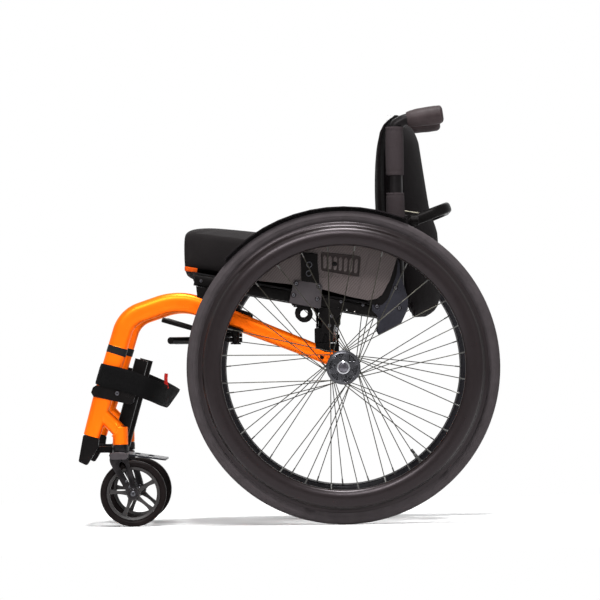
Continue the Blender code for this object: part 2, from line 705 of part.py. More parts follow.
def cushion():
    """Crowned block: drawn-in sides, rounded front and rear, its underside on the sling."""
    half = CUSHION_WIDTH / 2
    long = CUSHION_REAR - CUSHION_FRONT
    rings = []
    for along in (0.0, 0.012, 0.035, 0.106, 0.134, 0.33, 0.5, 0.67, 0.85, 0.955, 0.985, 1.0):
        x = CUSHION_FRONT + long * along
        ends = min(along, 1 - along) * long
        tuck = max(0.0, 1 - ends / 0.014)
        drop = 0.014 * tuck**2
        wide = half - 0.010 * tuck**2 - 0.004 * math.sin(math.pi * along)
        top = CUSHION_TOP - CUSHION_SLOPE * (x - RAIL_FRONT[0]) - drop
        lower, upper = [], []
        for k in range(-4, 5):
            y = wide * math.sin(math.pi / 2 * k / 4)
            side = abs(k) / 4
            crown = CUSHION_CROWN * (1 - side**2) * math.sin(math.pi * min(max(along, 0.04), 0.96))
            base = cushion_low(x, y)
            lower.append((x, y * 0.985, base + 0.008 * tuck**2 + 0.006 * side**8))
            upper.append((x, y * 0.985, top + crown - 0.012 * side**8))
        low, high = lower[-1][2], upper[-1][2]
        middle = [(x, wide, low + share * (high - low)) for share in (0.38, 0.70)]
        other = [(x, -wide, z) for _, _, z in reversed(middle)]
        rings.append(lower + middle + upper[::-1] + other)
    finish("cushion", loft(rings), FABRIC)


def back_plates():
    """Teardrop plate bolted to the rail's end. The back post turns on its upper bolt."""
    outline = [(0.0018, 0.0567), (0.0058, 0.0483), (0.0064, 0.0301), (0.0145, 0.0016), (0.0213, -0.0193)]
    outline += [(0.0193, -0.0400), (0.0070, -0.0654), (-0.0258, -0.0828), (-0.0332, -0.0855)]
    outline += [(-0.0376, -0.0770), (-0.0351, -0.0567), (-0.0392, -0.0477), (-0.0472, -0.0407)]
    outline += [(-0.0472, -0.0267), (-0.0392, -0.0227), (-0.0212, -0.0077)]
    x, z = BACK_PIVOT
    outline = [(x + u, z + v) for u, v in outline]
    face, inside = -PLATE_Y, -FRAME_TRACK / 2 + 0.018
    plate = slab(outline, face - 0.0045, face)
    rail_face = -RAIL_TRACK / 2 - RAIL_SIZE / 2
    u, v = x - 0.0380, z - 0.0357
    boss = rod((u, face - 0.001, v), (u, rail_face - TOUCH, v), 0.0085, 12)
    head = rod((u, face - 0.0065, v), (u, face - 0.004, v), 0.0055, 8)
    bolt = rod((x, face - 0.0070, z), (x, inside, z), PIN_RADIUS, 10)
    cap = rod((x, face - 0.0070, z), (x, face - 0.004, z), 0.0060, 8)
    nut = rod((x, inside - 0.0030, z), (x, inside + 0.0005, z), 0.0065, 6)
    u, v = x + 0.0043, z - 0.0360
    latch = rod((u, face - 0.0065, v), (u, face - 0.004, v), 0.0050, 8)
    plate = combined(plate, [boss, head, bolt, cap, latch, nut])
    both_sides("back_plate", plate, PLATE_GREY)


def back_posts():
    """Upright with padded sleeves, bent into the handle tube. The left one carries the bar's hinge
    and the right one its rest."""
    y = -FRAME_TRACK / 2
    bare, sleeve, top = POST_RADIUS, SLEEVE_RADIUS, POST_TOP
    profile = [(0, POST_FOOT), (bare, POST_FOOT), (bare, top - 0.1805), (sleeve - 0.0008, top - 0.1800)]
    profile += [(sleeve, top - 0.1780), (sleeve, top - 0.1255), (bare, top - 0.1245), (bare, top - 0.0910)]
    profile += [(sleeve, top - 0.0900), (sleeve, top - 0.0050), (sleeve - 0.003, top), (0, top + 0.002)]
    upright = turned(profile, (POST_X, y, 0), (0, 0, 1), 12)
    slope = (GRIP_REAR[1] - GRIP_FRONT[1]) / (GRIP_REAR[0] - GRIP_FRONT[0])
    corners = [(POST_X, y, POST_TOP - 0.013), (POST_X, y, POST_TOP + 0.003)]
    for x in (GRIP_FRONT[0] - 0.0055, GRIP_REAR[0] - 0.006):
        corners.append((x, y, GRIP_FRONT[1] + slope * (x - GRIP_FRONT[0])))
    path = rounded(corners, (0.0135, 0.030), 4)
    handle = sweep(path, (0, 1, 0), lambda share: (HANDLE_RADIUS, HANDLE_RADIUS), 10)
    post = combined(upright, [handle])
    x, z = BACK_PIVOT
    pivot = rod((x, -1, z), (x, 1, z), PIN_RADIUS + RUNNING, 12)
    post = combined(post, [pivot], "DIFFERENCE")

    hinge = Vector(BAR_HINGE)
    near = POST_X + 0.0230
    arm = block((POST_X + 0.0048, y + 0.010, hinge.z - 0.0095), (near, hinge.y + 0.0070, hinge.z + 0.0095))
    tip = hinge.x + BAR_KNUCKLE - 0.0018
    pin = rod((near - 0.0022, hinge.y, hinge.z), (tip, hinge.y, hinge.z), 0.0045, 12)
    left = combined(post.copy(), [arm, pin])
    finish("back_post_left", left, POST_BLACK, (BACK_PIVOT[0], y, BACK_PIVOT[1]))

    rest = hinge.y + BAR_SPAN
    top = BAR_FOOT - TOUCH
    shelf = block((POST_X + 0.0088, rest - 0.0080, top - 0.0070), (POST_X + 0.0488, rest + 0.0080, top))
    stalk = block((POST_X + 0.0068, rest - 0.0080, top - 0.0070), (near, -y - 0.010, top + 0.0060))
    right = combined(flipped(post), [shelf, stalk])
    finish("back_post_right", right, POST_BLACK, (BACK_PIVOT[0], -y, BACK_PIVOT[1]))

    a, b = Vector((GRIP_FRONT[0], y, GRIP_FRONT[1])), Vector((GRIP_REAR[0], y, GRIP_REAR[1]))
    long = (b - a).length
    bore = HANDLE_RADIUS + TOUCH
    profile = [(0, long - 0.0045), (bore, long - 0.0045), (bore, 0), (GRIP_RADIUS - 0.0015, 0)]
    profile += [(GRIP_RADIUS - 0.0006, 0.004), (GRIP_RADIUS, long * 0.35)]
    slim = GRIP_RADIUS - 0.0022
    profile += [(GRIP_RADIUS, long * 0.78), (slim, long * 0.90), (slim, long - 0.002)]
    profile += [(slim - 0.0018, long), (0, long)]
    both_sides("push_grip", turned(profile, a, (b - a).normalized(), 14), GRIP_GREY)


def stabiliser_bar():
    """U-shaped bar behind the back. Its left end is a knuckle, so it swings up for folding."""
    hinge = Vector(BAR_HINGE)
    rise = math.radians(BAR_RISE)
    out = Vector((math.cos(rise), 0, math.sin(rise)))
    across = Vector((-math.sin(rise), 0, math.cos(rise)))
    inner = hinge + out * 0.006
    span = Vector((0, BAR_SPAN, 0))
    corners = [inner, hinge + out * BAR_REACH, hinge + out * BAR_REACH + span, inner + span]
    path = rounded(corners, (0.032, 0.032), 4)
    bar = sweep(path, across, lambda share: (BAR_TALL / 2, 0.0060), 10, 2.6)
    outer = 0.0100
    knuckle = rod(hinge + Vector((TOUCH, 0, 0)), hinge + Vector((BAR_KNUCKLE, 0, 0)), outer, 14)
    rest = hinge.y + BAR_SPAN
    low = (hinge.x + 0.0025, rest - 0.0080, BAR_FOOT)
    foot = block(low, (hinge.x + 0.0190, rest + 0.0080, hinge.z + 0.0030))
    bar = combined(bar, [knuckle, foot])
    bore = rod(hinge - Vector((0.02, 0, 0)), hinge + Vector((BAR_KNUCKLE - 0.001, 0, 0)), 0.0053, 12)
    clear = block(hinge - Vector((0.03, 0.03, 0.03)), hinge + Vector((0, 0.03, 0.03)))
    bar = combined(bar, [bore, clear], "DIFFERENCE")
    finish("stabiliser_bar", bar, BLACK, hinge)


def back_upholstery():
    """Padded back: wings in front of the posts, and a sling that bellies out behind into a pouch."""
    rises = [0.000, 0.006, 0.019, 0.054, 0.119, 0.144, 0.174, 0.234, 0.304, 0.349, 0.376, 0.3885]
    belly = ((-0.003, 0.0608), (0.006, 0.0758), (0.054, 0.0848), (0.166, 0.0788), (0.210, 0.0638))
    belly += ((0.292, 0.0518), (0.341, 0.0448), (0.370, 0.0318), (0.3885, 0.0098))
    face = ((0.000, 0.0228), (0.014, 0.0148), (0.134, -0.0072), (0.174, -0.0332))
    face += ((0.304, -0.0337), (0.354, -0.0307), (0.3885, -0.0242))
    wings = ((0.119, -0.035), (0.149, 0.011), (0.349, 0.011), (0.3885, -0.009))
    walls = ((0.119, 0.006), (0.149, 0.0150), (0.349, 0.0127), (0.3885, 0.0062))
    inner = FRAME_TRACK / 2 - 0.029
    rings = []
    for rise in rises:
        front, rear, wing, thick = (float(np.interp(rise, *zip(*t))) for t in (face, belly, wings, walls))
        front, rear, wing = POST_X + front, POST_X + rear, FRAME_TRACK / 2 + wing
        z = POST_FOOT - 0.012 + rise * (POST_TOP - POST_FOOT) / 0.350
        back = min(front + thick, POST_X - 0.018) if wing > inner else front + thick
        ahead, behind = [], []
        for k in range(-5, 6):
            y = wing * k / 5
            ahead.append((front + 0.014 * (1 - (k / 5) ** 2), y, z))
        reach = min(inner, wing)
        for k in range(5, -6, -1):
            y = reach * math.sin(math.pi / 2 * k / 5)
            swell = max(rear - back, 0.004) * (1 - abs(y / reach) ** 1.6)
            behind.append((back + swell, y, z))
        tips = [[(front + 0.002, wing, z), (back, wing, z)], [(back, -wing, z), (front + 0.002, -wing, z)]]
        rings.append(ahead[1:-1] + tips[0] + behind + tips[1])
    finish("back_upholstery", loft(rings), FABRIC)


def side_guards():
    """Guard panel with a ribbed recess, and an L-shaped fender over the tyre."""
    outline = [(-0.1750, 0.1680), (-0.1550, 0.1656), (-0.0972, 0.1583), (-0.0400, 0.1487), (0.0127, 0.1337)]
    outline += [(0.0484, 0.1258), (0.0640, 0.1285), (0.0750, 0.1356), (0.0906, 0.1637), (0.1044, 0.2050)]
    for turn in range(69, 133, 6):
        t = math.radians(turn)
        outline.append((GUARD_RADIUS * math.cos(t), GUARD_RADIUS * math.sin(t)))
    outline = [(x, TYRE_RADIUS + z) for x, z in outline]
    outer = -GUARD_Y - GUARD_THICK
    panel = slab(outline, outer, -GUARD_Y)
    cuts = []
    for k in range(6):
        x = -0.0389 + 0.0134 * k
        low, high = TYRE_RADIUS + 0.1702, TYRE_RADIUS + 0.2186
        corners = [(x, low), (x + 0.0078, low), (x + 0.0078, high), (x, high)]
        cuts.append(slab(softened(corners, 0.0026, 1), outer - 0.001, outer + 0.0011))
    groove = [(0.0524, 0.2178), (0.0544, 0.2166), (0.0298, 0.1370), (0.0278, 0.1382)]
    groove = slab([(x, TYRE_RADIUS + z) for x, z in groove], outer - 0.001, outer + 0.0008)
    panel = combined(panel, [joined(cuts), groove], "DIFFERENCE")
    both_sides("side_guard", panel, CARBON)

    inside = outer - TOUCH
    low, high = TYRE_RADIUS + FENDER_GAP, TYRE_RADIUS + FENDER_GAP + FENDER_THICK
    rings = []
    for turn in (66, 67.5, 71, 77, 83, 89, 95, 101, 107, 113, 119, 125, 131, 137):
        t = math.radians(turn)
        lift = 0.004 if turn == 66 else 0.001 if turn == 67.5 else 0.0
        section = [(low - 0.0125, inside), (high + lift, inside), (high + lift, -FENDER_OUTER)]
        section += [(low + lift, -FENDER_OUTER), (low + lift, inside - 0.0017)]
        section += [(low - 0.0125, inside - 0.0017)]
        rings.append([(r * math.cos(t), y, TYRE_RADIUS + r * math.sin(t)) for r, y in section])
    both_sides("fender", loft(rings), FENDER_BLACK)


def guard_receivers():
    """Bracket bolted to the seat rail: a cheek outside the guard, its finger, and a tie-down eye."""
    rail_face = -RAIL_TRACK / 2 - RAIL_SIZE / 2
    outer, inner = -GUARD_Y - 0.0070, -GUARD_Y - GUARD_THICK - TOUCH
    up = TYRE_RADIUS
    base = block((-0.0950, outer, up + 0.1180), (-0.0450, rail_face - TOUCH, up + 0.1400))
    cheek = [(-0.0910, up + 0.1664), (-0.0370, up + 0.1584), (-0.0405, up + 0.1109), (-0.1013, up + 0.1232)]
    cheek = slab(softened(cheek, 0.004, 1), outer, inner)
    finger = [(-0.0767, up + 0.1450), (-0.0416, up + 0.1450), (-0.0470, up + 0.2170), (-0.0720, up + 0.2170)]
    finger = slab(softened(finger, 0.007, 1), outer, inner)
    eye_x, eye_y, eye_z = -0.0738, -FRAME_TRACK / 2 - 0.0110, up + 0.1040
    ring = rod((eye_x, eye_y - 0.0025, eye_z), (eye_x, eye_y + 0.0025, eye_z), 0.0165, 14)
    hole = rod((eye_x, eye_y - 0.04, eye_z), (eye_x, eye_y + 0.04, eye_z), 0.0085, 10)
    body = combined(base, [cheek, finger, ring])
    holes = []
    for x, z in ((-0.0606, up + 0.1962), (-0.0622, up + 0.1773)):
        holes.append(rod((x, eye_y - 0.04, z), (x, eye_y + 0.04, z), 0.0035, 8))
    both_sides("guard_receiver", combined(body, [hole, *holes], "DIFFERENCE"), BLACK)


def footrest_posts():
    """Square post behind each front tube, with its strap clamp, end plug and bracket. The left one
    has the footplate's hinge lugs, and the right one its ledge."""
    lean = (POST_HIGH[0] - POST_LOW[0]) / (POST_HIGH[1] - POST_LOW[1])
    y = -POST_TRACK / 2
    half = POST_BAR / 2
    ends = [Vector((x, y, z)) for x, z in (POST_HIGH, POST_LOW)]
    bar = sweep(ends, (0, 1, 0), lambda share: (half, 0.0127), 12, 6)
    x = STEM_X
    clamp = [(x - 0.0483, 0.2690), (x - 0.0560, 0.2485), (x + 0.0245, 0.2300), (x + 0.0330, 0.2585)]
    tube_y = -FRAME_TRACK / 2
    clamp = slab(softened(clamp, 0.006, 1), tube_y - 0.0175, y)
    screw = rod((x + 0.0155, tube_y - 0.0195, 0.2490), (x + 0.0155, y, 0.2490), 0.0045, 8)
    plug = [(x - 0.0694, 0.1762), (x - 0.0398, 0.1670), (x - 0.0425, 0.1500)]
    plug += [(x - 0.0635, 0.1168), (x - 0.0795, 0.1246)]
    plug = slab(softened(plug, 0.0025, 1), tube_y - 0.0130, tube_y + 0.0130)
    link = block((x - 0.0605, tube_y - 0.0010, 0.1400), (x - 0.0465, y, 0.1520))
    reach = block((x - 0.0505, y - 0.0060, 0.1400), (x - 0.0065, y + 0.0060, 0.1520))
    clamp = combined(clamp, [frame_tube(TOUCH)], "DIFFERENCE")
    post = combined(bar, [clamp, screw, plug, link, reach])

    hinge_y, hinge_z = FOOTPLATE_HINGE
    middle = POST_LOW[0] + lean * (hinge_z - POST_LOW[1])
    inside = y + half - 0.002
    lugs = []
    for low, high in ((-0.0130, -0.0052), (0.0052, 0.0130)):
        lug = [(inside, hinge_z - 0.0065), (hinge_y, hinge_z - 0.0065), (hinge_y + 0.0055, hinge_z)]
        lug += [(hinge_y, hinge_z + 0.0065), (inside, hinge_z + 0.0065)]
        lugs.append(slab(lug, middle + low, middle + high, "YZ"))
    pin = rod((middle - 0.0115, hinge_y, hinge_z), (middle + 0.0115, hinge_y, hinge_z), 0.0030, 10)
    finish("footrest_post_left", combined(post.copy(), [*lugs, pin]), BLACK)

    x0, x1 = middle - 0.0130, middle + 0.0130
    top = [plate_line(x) - FOOTPLATE_THICK / 2 - TOUCH for x in (x0, x1)]
    ledge = [(x0, top[0]), (x1, top[1]), (x1, top[1] - 0.0060), (x0, top[0] - 0.0060)]
    ledge = slab(ledge, -y - 0.0270, -y)
    finish("footrest_post_right", combined(flipped(post), [ledge]), BLACK)


def plate_line(x):
    """Height of the footplate's middle at x."""
    share = (x - FOOTPLATE_FRONT[0]) / (FOOTPLATE_REAR[0] - FOOTPLATE_FRONT[0])
    return FOOTPLATE_FRONT[1] + share * (FOOTPLATE_REAR[1] - FOOTPLATE_FRONT[1])


def footplate():
    """Plate with rounded corners and slots, on a knuckle at the left, so that it folds up."""
    hinge_y, hinge_z = FOOTPLATE_HINGE
    low, high = hinge_y + 0.0085, hinge_y + 0.0085 + FOOTPLATE_WIDTH
    front, rear = FOOTPLATE_FRONT[0], FOOTPLATE_REAR[0]
    outline = softened([(front, low), (rear, low), (rear, high), (front, high)], 0.022, 3)
    rings = []
    for lift in (-FOOTPLATE_THICK / 2, FOOTPLATE_THICK / 2):
        rings.append([(x, y, plate_line(x) + lift) for x, y in outline])
    plate = loft(rings)
    slots = []
    for k in range(4):
        x = front + 0.030 + 0.026 * k
        inner, outer = low + 0.045, high - 0.045
        corners = [(x, inner), (x + 0.010, inner), (x + 0.010, outer), (x, outer)]
        slots.append(slab(softened(corners, 0.0045, 1), 0.10, 0.18, "XY"))
    plate = combined(plate, [joined(slots)], "DIFFERENCE")
    lean = (POST_HIGH[0] - POST_LOW[0]) / (POST_HIGH[1] - POST_LOW[1])
    middle = POST_LOW[0] + lean * (hinge_z - POST_LOW[1])
    a, b = middle - 0.0052 + 0.0005, middle + 0.0052 - 0.0005
    knuckle = rod((a, hinge_y, hinge_z), (b, hinge_y, hinge_z), 0.0065, 14)
    tab = block((a, hinge_y, hinge_z - 0.0012), (b, low + 0.008, hinge_z + 0.0038))
    bore = rod((a - 0.01, hinge_y, hinge_z), (b + 0.01, hinge_y, hinge_z), 0.0030 + RUNNING, 10)
    plate = combined(plate, [knuckle, tab])
    plate = combined(plate, [bore], "DIFFERENCE")
    finish("footplate", plate, PLATE_GREY, (middle, hinge_y, hinge_z))


def calf_strap():
    """Belt that wraps both front tubes and hangs back in a bow between them."""
    stations = [
        ((-0.0328, 0.3105), (-0.0448, 0.2730), 0.0010), ((-0.0305, 0.3100), (-0.0425, 0.2727), 0.0135),
        ((-0.0205, 0.3075), (-0.0325, 0.2690), 0.0202), ((0.0095, 0.3000), (-0.0030, 0.2620), 0.0210),
        ((0.0355, 0.2915), (0.0215, 0.2535), 0.0210), ((0.0575, 0.2820), (0.0415, 0.2455), 0.0190),
        ((0.0765, 0.2735), (0.0585, 0.2385), 0.0020), ((0.0915, 0.2660), (0.0710, 0.2320), -0.0350),
        ((0.1015, 0.2610), (0.0790, 0.2280), -0.0850), ((0.1070, 0.2585), (0.0825, 0.2260), -0.1450),
        ((0.1085, 0.2580), (0.0835, 0.2255), -FRAME_TRACK / 2),
    ]
    stations = [(high, low, -FRAME_TRACK / 2 - out) for high, low, out in stations]
    stations += [(high, low, -y) for high, low, y in reversed(stations[:-1])]
    rings = []
    for i, (high, low, y) in enumerate(stations):
        before, after = stations[max(i - 1, 0)], stations[min(i + 1, len(stations) - 1)]
        along = Vector((after[0][0] - before[0][0], after[2] - before[2], 0)).normalized()
        out = Vector((-along.y, along.x, 0)) * STRAP_THICK / 2
        top, bottom = Vector((STEM_X + high[0], y, high[1])), Vector((STEM_X + low[0], y, low[1]))
        rings.append([bottom + out, top + out, top - out, bottom - out])
    finish("calf_strap", loft(rings), FABRIC)


def wheel_locks():
    """Clamp under the frame tube with its pin, a long lever, and a swinging arm with the shoe."""
    y, tube_y = LOCK_Y, -FRAME_TRACK / 2
    front, middle, rear = LOCK_X - 0.0345, LOCK_X - 0.0085, LOCK_X + 0.0175
    outline = [(front, LOCK_BASE), (rear, LOCK_BASE), (rear, LOCK_BASE + 0.0040)]
    outline += [(middle, LOCK_BASE + 0.0120), (middle, LOCK_BASE + 0.0532), (front, LOCK_BASE + 0.0638)]
    collar = slab(outline, tube_y - 0.0188, tube_y + 0.0188)
    outline = [(middle - 0.0020, LOCK_BASE + 0.0380), (LOCK_X + 0.0310, LOCK_BASE + 0.0240)]
    outline += [(LOCK_X + 0.0310, LOCK_BASE + 0.0370), (middle - 0.0020, LOCK_BASE + 0.0515)]
    fin = slab(outline, y + 0.0020, y + 0.0100)
    collar = combined(combined(collar, [fin]), [frame_tube(TOUCH)], "DIFFERENCE")
    pin = rod((LOCK_X, y, LOCK_BASE - 0.0200), (LOCK_X, y, LOCK_BASE + 0.0020), PIN_RADIUS, 10)
    head = rod((LOCK_X, y, LOCK_BASE - 0.0225), (LOCK_X, y, LOCK_BASE - 0.0190), 0.0070, 10)
    both_sides("lock_clamp", combined(collar, [pin, head]), BLACK)

    bore = PIN_RADIUS + RUNNING
    high = LOCK_BASE - TOUCH
    hub = rod((LOCK_X, y, high - 0.0080), (LOCK_X, y, high), 0.0100, 14)
    hole = rod((LOCK_X, y, high - 0.02), (LOCK_X, y, high + 0.02), bore, 10)
    path = [Vector((LOCK_X - 0.004, y, high - 0.0040)), Vector((LOCK_X - 0.0385, y + 0.0068, high - 0.0042))]
    path += [Vector((LOCK_X - 0.0525, y + 0.0093, high + 0.0010)), Vector(LEVER_TIP)]
    rings = []
    sizes = ((0.0060, 0.0036), (0.0060, 0.0036), (0.0050, 0.0045), (0.0062, 0.0052))
    for i, (wide, tall) in enumerate(sizes):
        before, after = path[max(i - 1, 0)], path[min(i + 1, 3)]
        along = (after - before).normalized()
        side = Vector((0, 0, 1)).cross(along).normalized()
        up = along.cross(side)
        rings.append([path[i] + side * u + up * v for u, v in oval(wide, tall, 8, 2.5)])
    lever = combined(hub, [loft(rings)])
    lever = combined(lever, [hole], "DIFFERENCE")
    both_sides("lock_lever", lever, BLACK, (LOCK_X, y, high))

    top = high - 0.0080 - 0.0009
    hub = rod((LOCK_X, y, top - 0.0092), (LOCK_X, y, top), 0.0100, 14)
    z = top - 0.0046
    arm = block((LOCK_X - LOCK_ARM, y - 0.0065, z - 0.0035), (LOCK_X, y + 0.0065, z + 0.0035))
    end = (LOCK_X - LOCK_ARM, y, z)
    shoe = rod((end[0], y + 0.0085, z), (end[0], y - LOCK_SHOE, z), 0.0068, 12)
    arm = combined(hub, [arm, shoe])
    arm = combined(arm, [hole.copy()], "DIFFERENCE")
    arm.transform(Matrix.Translation((-LOCK_X, -y, 0)))
    arm.transform(Matrix.Rotation(-math.radians(LOCK_TURN), 4, "Z"))
    arm.transform(Matrix.Translation((LOCK_X, y, 0)))
    both_sides("lock_arm", arm, SHOE_BLACK, (LOCK_X, y, top))


for thing in list(bpy.data.objects):
    bpy.data.objects.remove(thing)

ORANGE = material("orange_paint", (0.95, 0.33, 0.02), 0.28)
BLACK = material("black_anodised", (0.030, 0.030, 0.033), 0.42, 0.3)
STEEL = material("steel", (0.60, 0.60, 0.62), 0.3, 1.0)
SILVER = material("silver_button", (0.72, 0.72, 0.74), 0.22, 1.0)
TYRE_BLACK = material("tyre_rubber", (0.035, 0.036, 0.040), 0.75)
RIM_BLACK = material("rim_black", (0.020, 0.020, 0.022), 0.35, 0.2)
HUB_BLACK = material("hub_black", (0.025, 0.026, 0.030), 0.35, 0.5)
HANDRIM_BLACK = material("handrim_black", (0.075, 0.062, 0.070), 0.38, 0.2)
FABRIC = material("black_fabric", (0.030, 0.030, 0.033), 0.9)
PLATE_GREY = material("grey_anodised", (0.10, 0.10, 0.11), 0.45, 0.4)
POST_BLACK = material("black_post", (0.035, 0.034, 0.038), 0.5, 0.1)
GRIP_GREY = material("grip_rubber", (0.070, 0.066, 0.070), 0.7)
CARBON = material("carbon_weave", (0.16, 0.15, 0.15), 0.35, 0.1)
FENDER_BLACK = material("fender_black", (0.045, 0.040, 0.044), 0.3)
SHOE_BLACK = material("shoe_black", (0.040, 0.040, 0.044), 0.5, 0.2)

side_frames()
axle_sleeves()
rear_wheels()
castors()
seat_rails()
cross_brace()
seat_sling()
cushion()
back_plates()
back_posts()
stabiliser_bar()
back_upholstery()
side_guards()
guard_receivers()
wheel_locks()
footrest_posts()
footplate()
calf_strap()

for thing in bpy.data.objects:
    thing.location.x += (FRONT_REACH - TYRE_RADIUS) / 2
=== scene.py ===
import json
import math

import bmesh
import bpy
import numpy as np
from mathutils import Matrix, Vector

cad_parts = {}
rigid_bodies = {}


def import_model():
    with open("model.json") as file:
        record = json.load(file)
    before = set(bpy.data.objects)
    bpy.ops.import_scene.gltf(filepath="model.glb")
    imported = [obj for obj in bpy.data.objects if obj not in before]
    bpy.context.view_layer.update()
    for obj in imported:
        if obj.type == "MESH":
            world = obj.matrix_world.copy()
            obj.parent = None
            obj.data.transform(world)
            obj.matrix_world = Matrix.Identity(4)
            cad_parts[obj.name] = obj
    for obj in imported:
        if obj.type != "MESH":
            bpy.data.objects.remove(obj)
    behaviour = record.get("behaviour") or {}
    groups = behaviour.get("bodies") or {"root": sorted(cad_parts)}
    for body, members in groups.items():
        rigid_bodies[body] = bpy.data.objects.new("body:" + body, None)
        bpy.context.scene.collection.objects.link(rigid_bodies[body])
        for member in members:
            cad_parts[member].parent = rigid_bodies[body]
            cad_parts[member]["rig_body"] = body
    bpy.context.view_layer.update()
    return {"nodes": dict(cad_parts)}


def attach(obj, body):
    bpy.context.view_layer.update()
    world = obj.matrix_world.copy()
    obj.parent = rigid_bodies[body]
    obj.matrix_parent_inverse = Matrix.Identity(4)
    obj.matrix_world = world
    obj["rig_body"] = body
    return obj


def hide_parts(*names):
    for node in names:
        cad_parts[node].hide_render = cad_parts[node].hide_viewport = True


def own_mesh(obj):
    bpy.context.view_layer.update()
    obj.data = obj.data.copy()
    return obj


for thing in list(bpy.data.objects):
    bpy.data.objects.remove(thing)
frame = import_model()
nodes = frame["nodes"]
axleX = 0.104  # the rear axle's place along x
sides = {"left": -1, "right": 1}


def unit(v):
    # vectors divided by their own lengths
    v = np.asarray(v, float)
    return v / np.linalg.norm(v, axis=-1, keepdims=True)


def gridQuads(rows, cols, wrapRows):
    # a quad from each grid point to its next neighbours along both directions
    r = np.arange(rows if wrapRows else rows - 1)
    c = np.arange(cols)
    i, j = np.meshgrid(r, c, indexing="ij")
    a, b = (i + 1) % rows, (j + 1) % cols
    quads = np.stack([i * cols + j, i * cols + b, a * cols + b, a * cols + j], -1)
    corner = np.stack([np.stack(p, -1) for p in ((j, i), (j + 1, i), (j + 1, i + 1), (j, i + 1))], 2)
    return quads.reshape(-1, 4), corner.reshape(-1, 4, 2)


def lengthsAlong(points, axis, wrap):
    # running length along one direction of a grid, averaged over the other
    if wrap:
        points = np.concatenate([points, points.take([0], axis)], axis)
    steps = np.linalg.norm(np.diff(points, axis=axis), axis=-1).mean(1 - axis)
    return np.concatenate([[0], np.cumsum(steps)])


def patch(points, wrapRows=False, caps=(False, False), look=0):
    # points is a grid of rows, and each row closes on itself. A cap closes the first or last row
    # with a fan round its middle. The faces are turned to point out, by the sign of the volume
    # they enclose.
    rows, cols = points.shape[:2]
    verts = points.reshape(-1, 3)
    quads, corner = gridQuads(rows, cols, wrapRows)
    across, along = lengthsAlong(points, 1, True), lengthsAlong(points, 0, wrapRows)
    quadUv = np.stack([across[corner[..., 0]], along[corner[..., 1]]], -1)
    tris, triUv = [], []
    for end, wanted in ((0, caps[0]), (rows - 1, caps[1])):
        if not wanted:
            continue
        ring = end * cols + np.arange(cols)
        nextOne, centre = np.roll(ring, -1), np.full(cols, len(verts))
        verts = np.vstack([verts, points[end].mean(0)])
        fan = np.stack([nextOne, ring, centre] if end == 0 else [ring, nextOne, centre], -1)
        flat = (verts[fan] - verts[centre[0]]) @ np.array([[1, 0], [0.3, 1], [0, 0.6]])
        tris.append(fan)
        triUv.append(flat)
    tris = np.concatenate(tris) if tris else np.zeros((0, 3), int)
    triUv = np.concatenate(triUv) if triUv else np.zeros((0, 3, 2))
    q, t = verts[quads], verts[tris]
    volume = np.einsum("ij,ij->i", q[:, 0], np.cross(q[:, 1], q[:, 2])).sum()
    volume += np.einsum("ij,ij->i", q[:, 0], np.cross(q[:, 2], q[:, 3])).sum()
    volume += np.einsum("ij,ij->i", t[:, 0], np.cross(t[:, 1], t[:, 2])).sum() if len(t) else 0
    if volume < 0:
        quads, quadUv, tris, triUv = quads[:, ::-1], quadUv[:, ::-1], tris[:, ::-1], triUv[:, ::-1]
    return {"verts": verts, "quads": quads, "tris": tris, "quadUv": quadUv, "triUv": triUv, "look": look}


def mirrored(patches):
    # the same patches on the other side of the chair: y changes sign and faces turn round
    found = []
    for p in patches:
        found.append(
            {
                "verts": p["verts"] * (1, -1, 1),
                "quads": p["quads"][:, ::-1],
                "tris": p["tris"][:, ::-1],
                "quadUv": p["quadUv"][:, ::-1],
                "triUv": p["triUv"][:, ::-1],
                "look": p["look"],
            }
        )
    return found


def pieceFrom(name, patches, looks, sharp=38.0):
    # joins patches into one mesh. looks are its materials, and a patch's look says which.
    verts = np.concatenate([p["verts"] for p in patches])
    faces, uvs, look, start = [], [], [], 0
    for p in patches:
        faces += (p["quads"] + start).tolist() + (p["tris"] + start).tolist()
        uvs += [p["quadUv"].reshape(-1, 2), p["triUv"].reshape(-1, 2)]
        look.append(np.full(len(p["quads"]) + len(p["tris"]), p["look"]))
        start += len(p["verts"])
    mesh = bpy.data.meshes.new(name)
    mesh.from_pydata(verts.tolist(), [], faces)
    mesh.uv_layers.new(name="cloth").data.foreach_set("uv", np.concatenate(uvs).ravel())
    mesh.polygons.foreach_set("material_index", np.concatenate(look))
    for material in looks:
        mesh.materials.append(material)
    return placed(name, mesh, sharp)


def placed(name, mesh, sharp, weld=0.0):
    # smooth faces but for edges sharper than an angle, and points closer than weld made one
    if weld:
        form = bmesh.new()
        form.from_mesh(mesh)
        bmesh.ops.remove_doubles(form, verts=form.verts, dist=weld)
        form.to_mesh(mesh)
        form.free()
    mesh.polygons.foreach_set("use_smooth", np.ones(len(mesh.polygons), bool))
    mesh.set_sharp_from_angle(angle=math.radians(sharp))
    mesh.update()
    piece = bpy.data.objects.new(name, mesh)
    bpy.context.scene.collection.objects.link(piece)
    return piece


def pathThrough(corners, bends, steps=16):
    # straight lines between corners, each inner corner rounded by an arc of its bend radius
    corners = np.asarray(corners, float)
    found = [corners[:1]]
    for before, here, after, bend in zip(corners, corners[1:], corners[2:], bends):
        a, b = unit(before - here), unit(after - here)
        half = math.acos(float(np.clip(a @ b, -1, 1))) / 2
        centre = here + unit(a + b) * bend / math.sin(half)
        start, end = (here + v * bend / math.tan(half) - centre for v in (a, b))
        turn, t = math.pi - 2 * half, np.linspace(0, 1, steps + 1)[:, None]
        found.append(centre + (np.sin((1 - t) * turn) * start + np.sin(t * turn) * end) / math.sin(turn))
    return np.concatenate([*found, corners[-1:]])


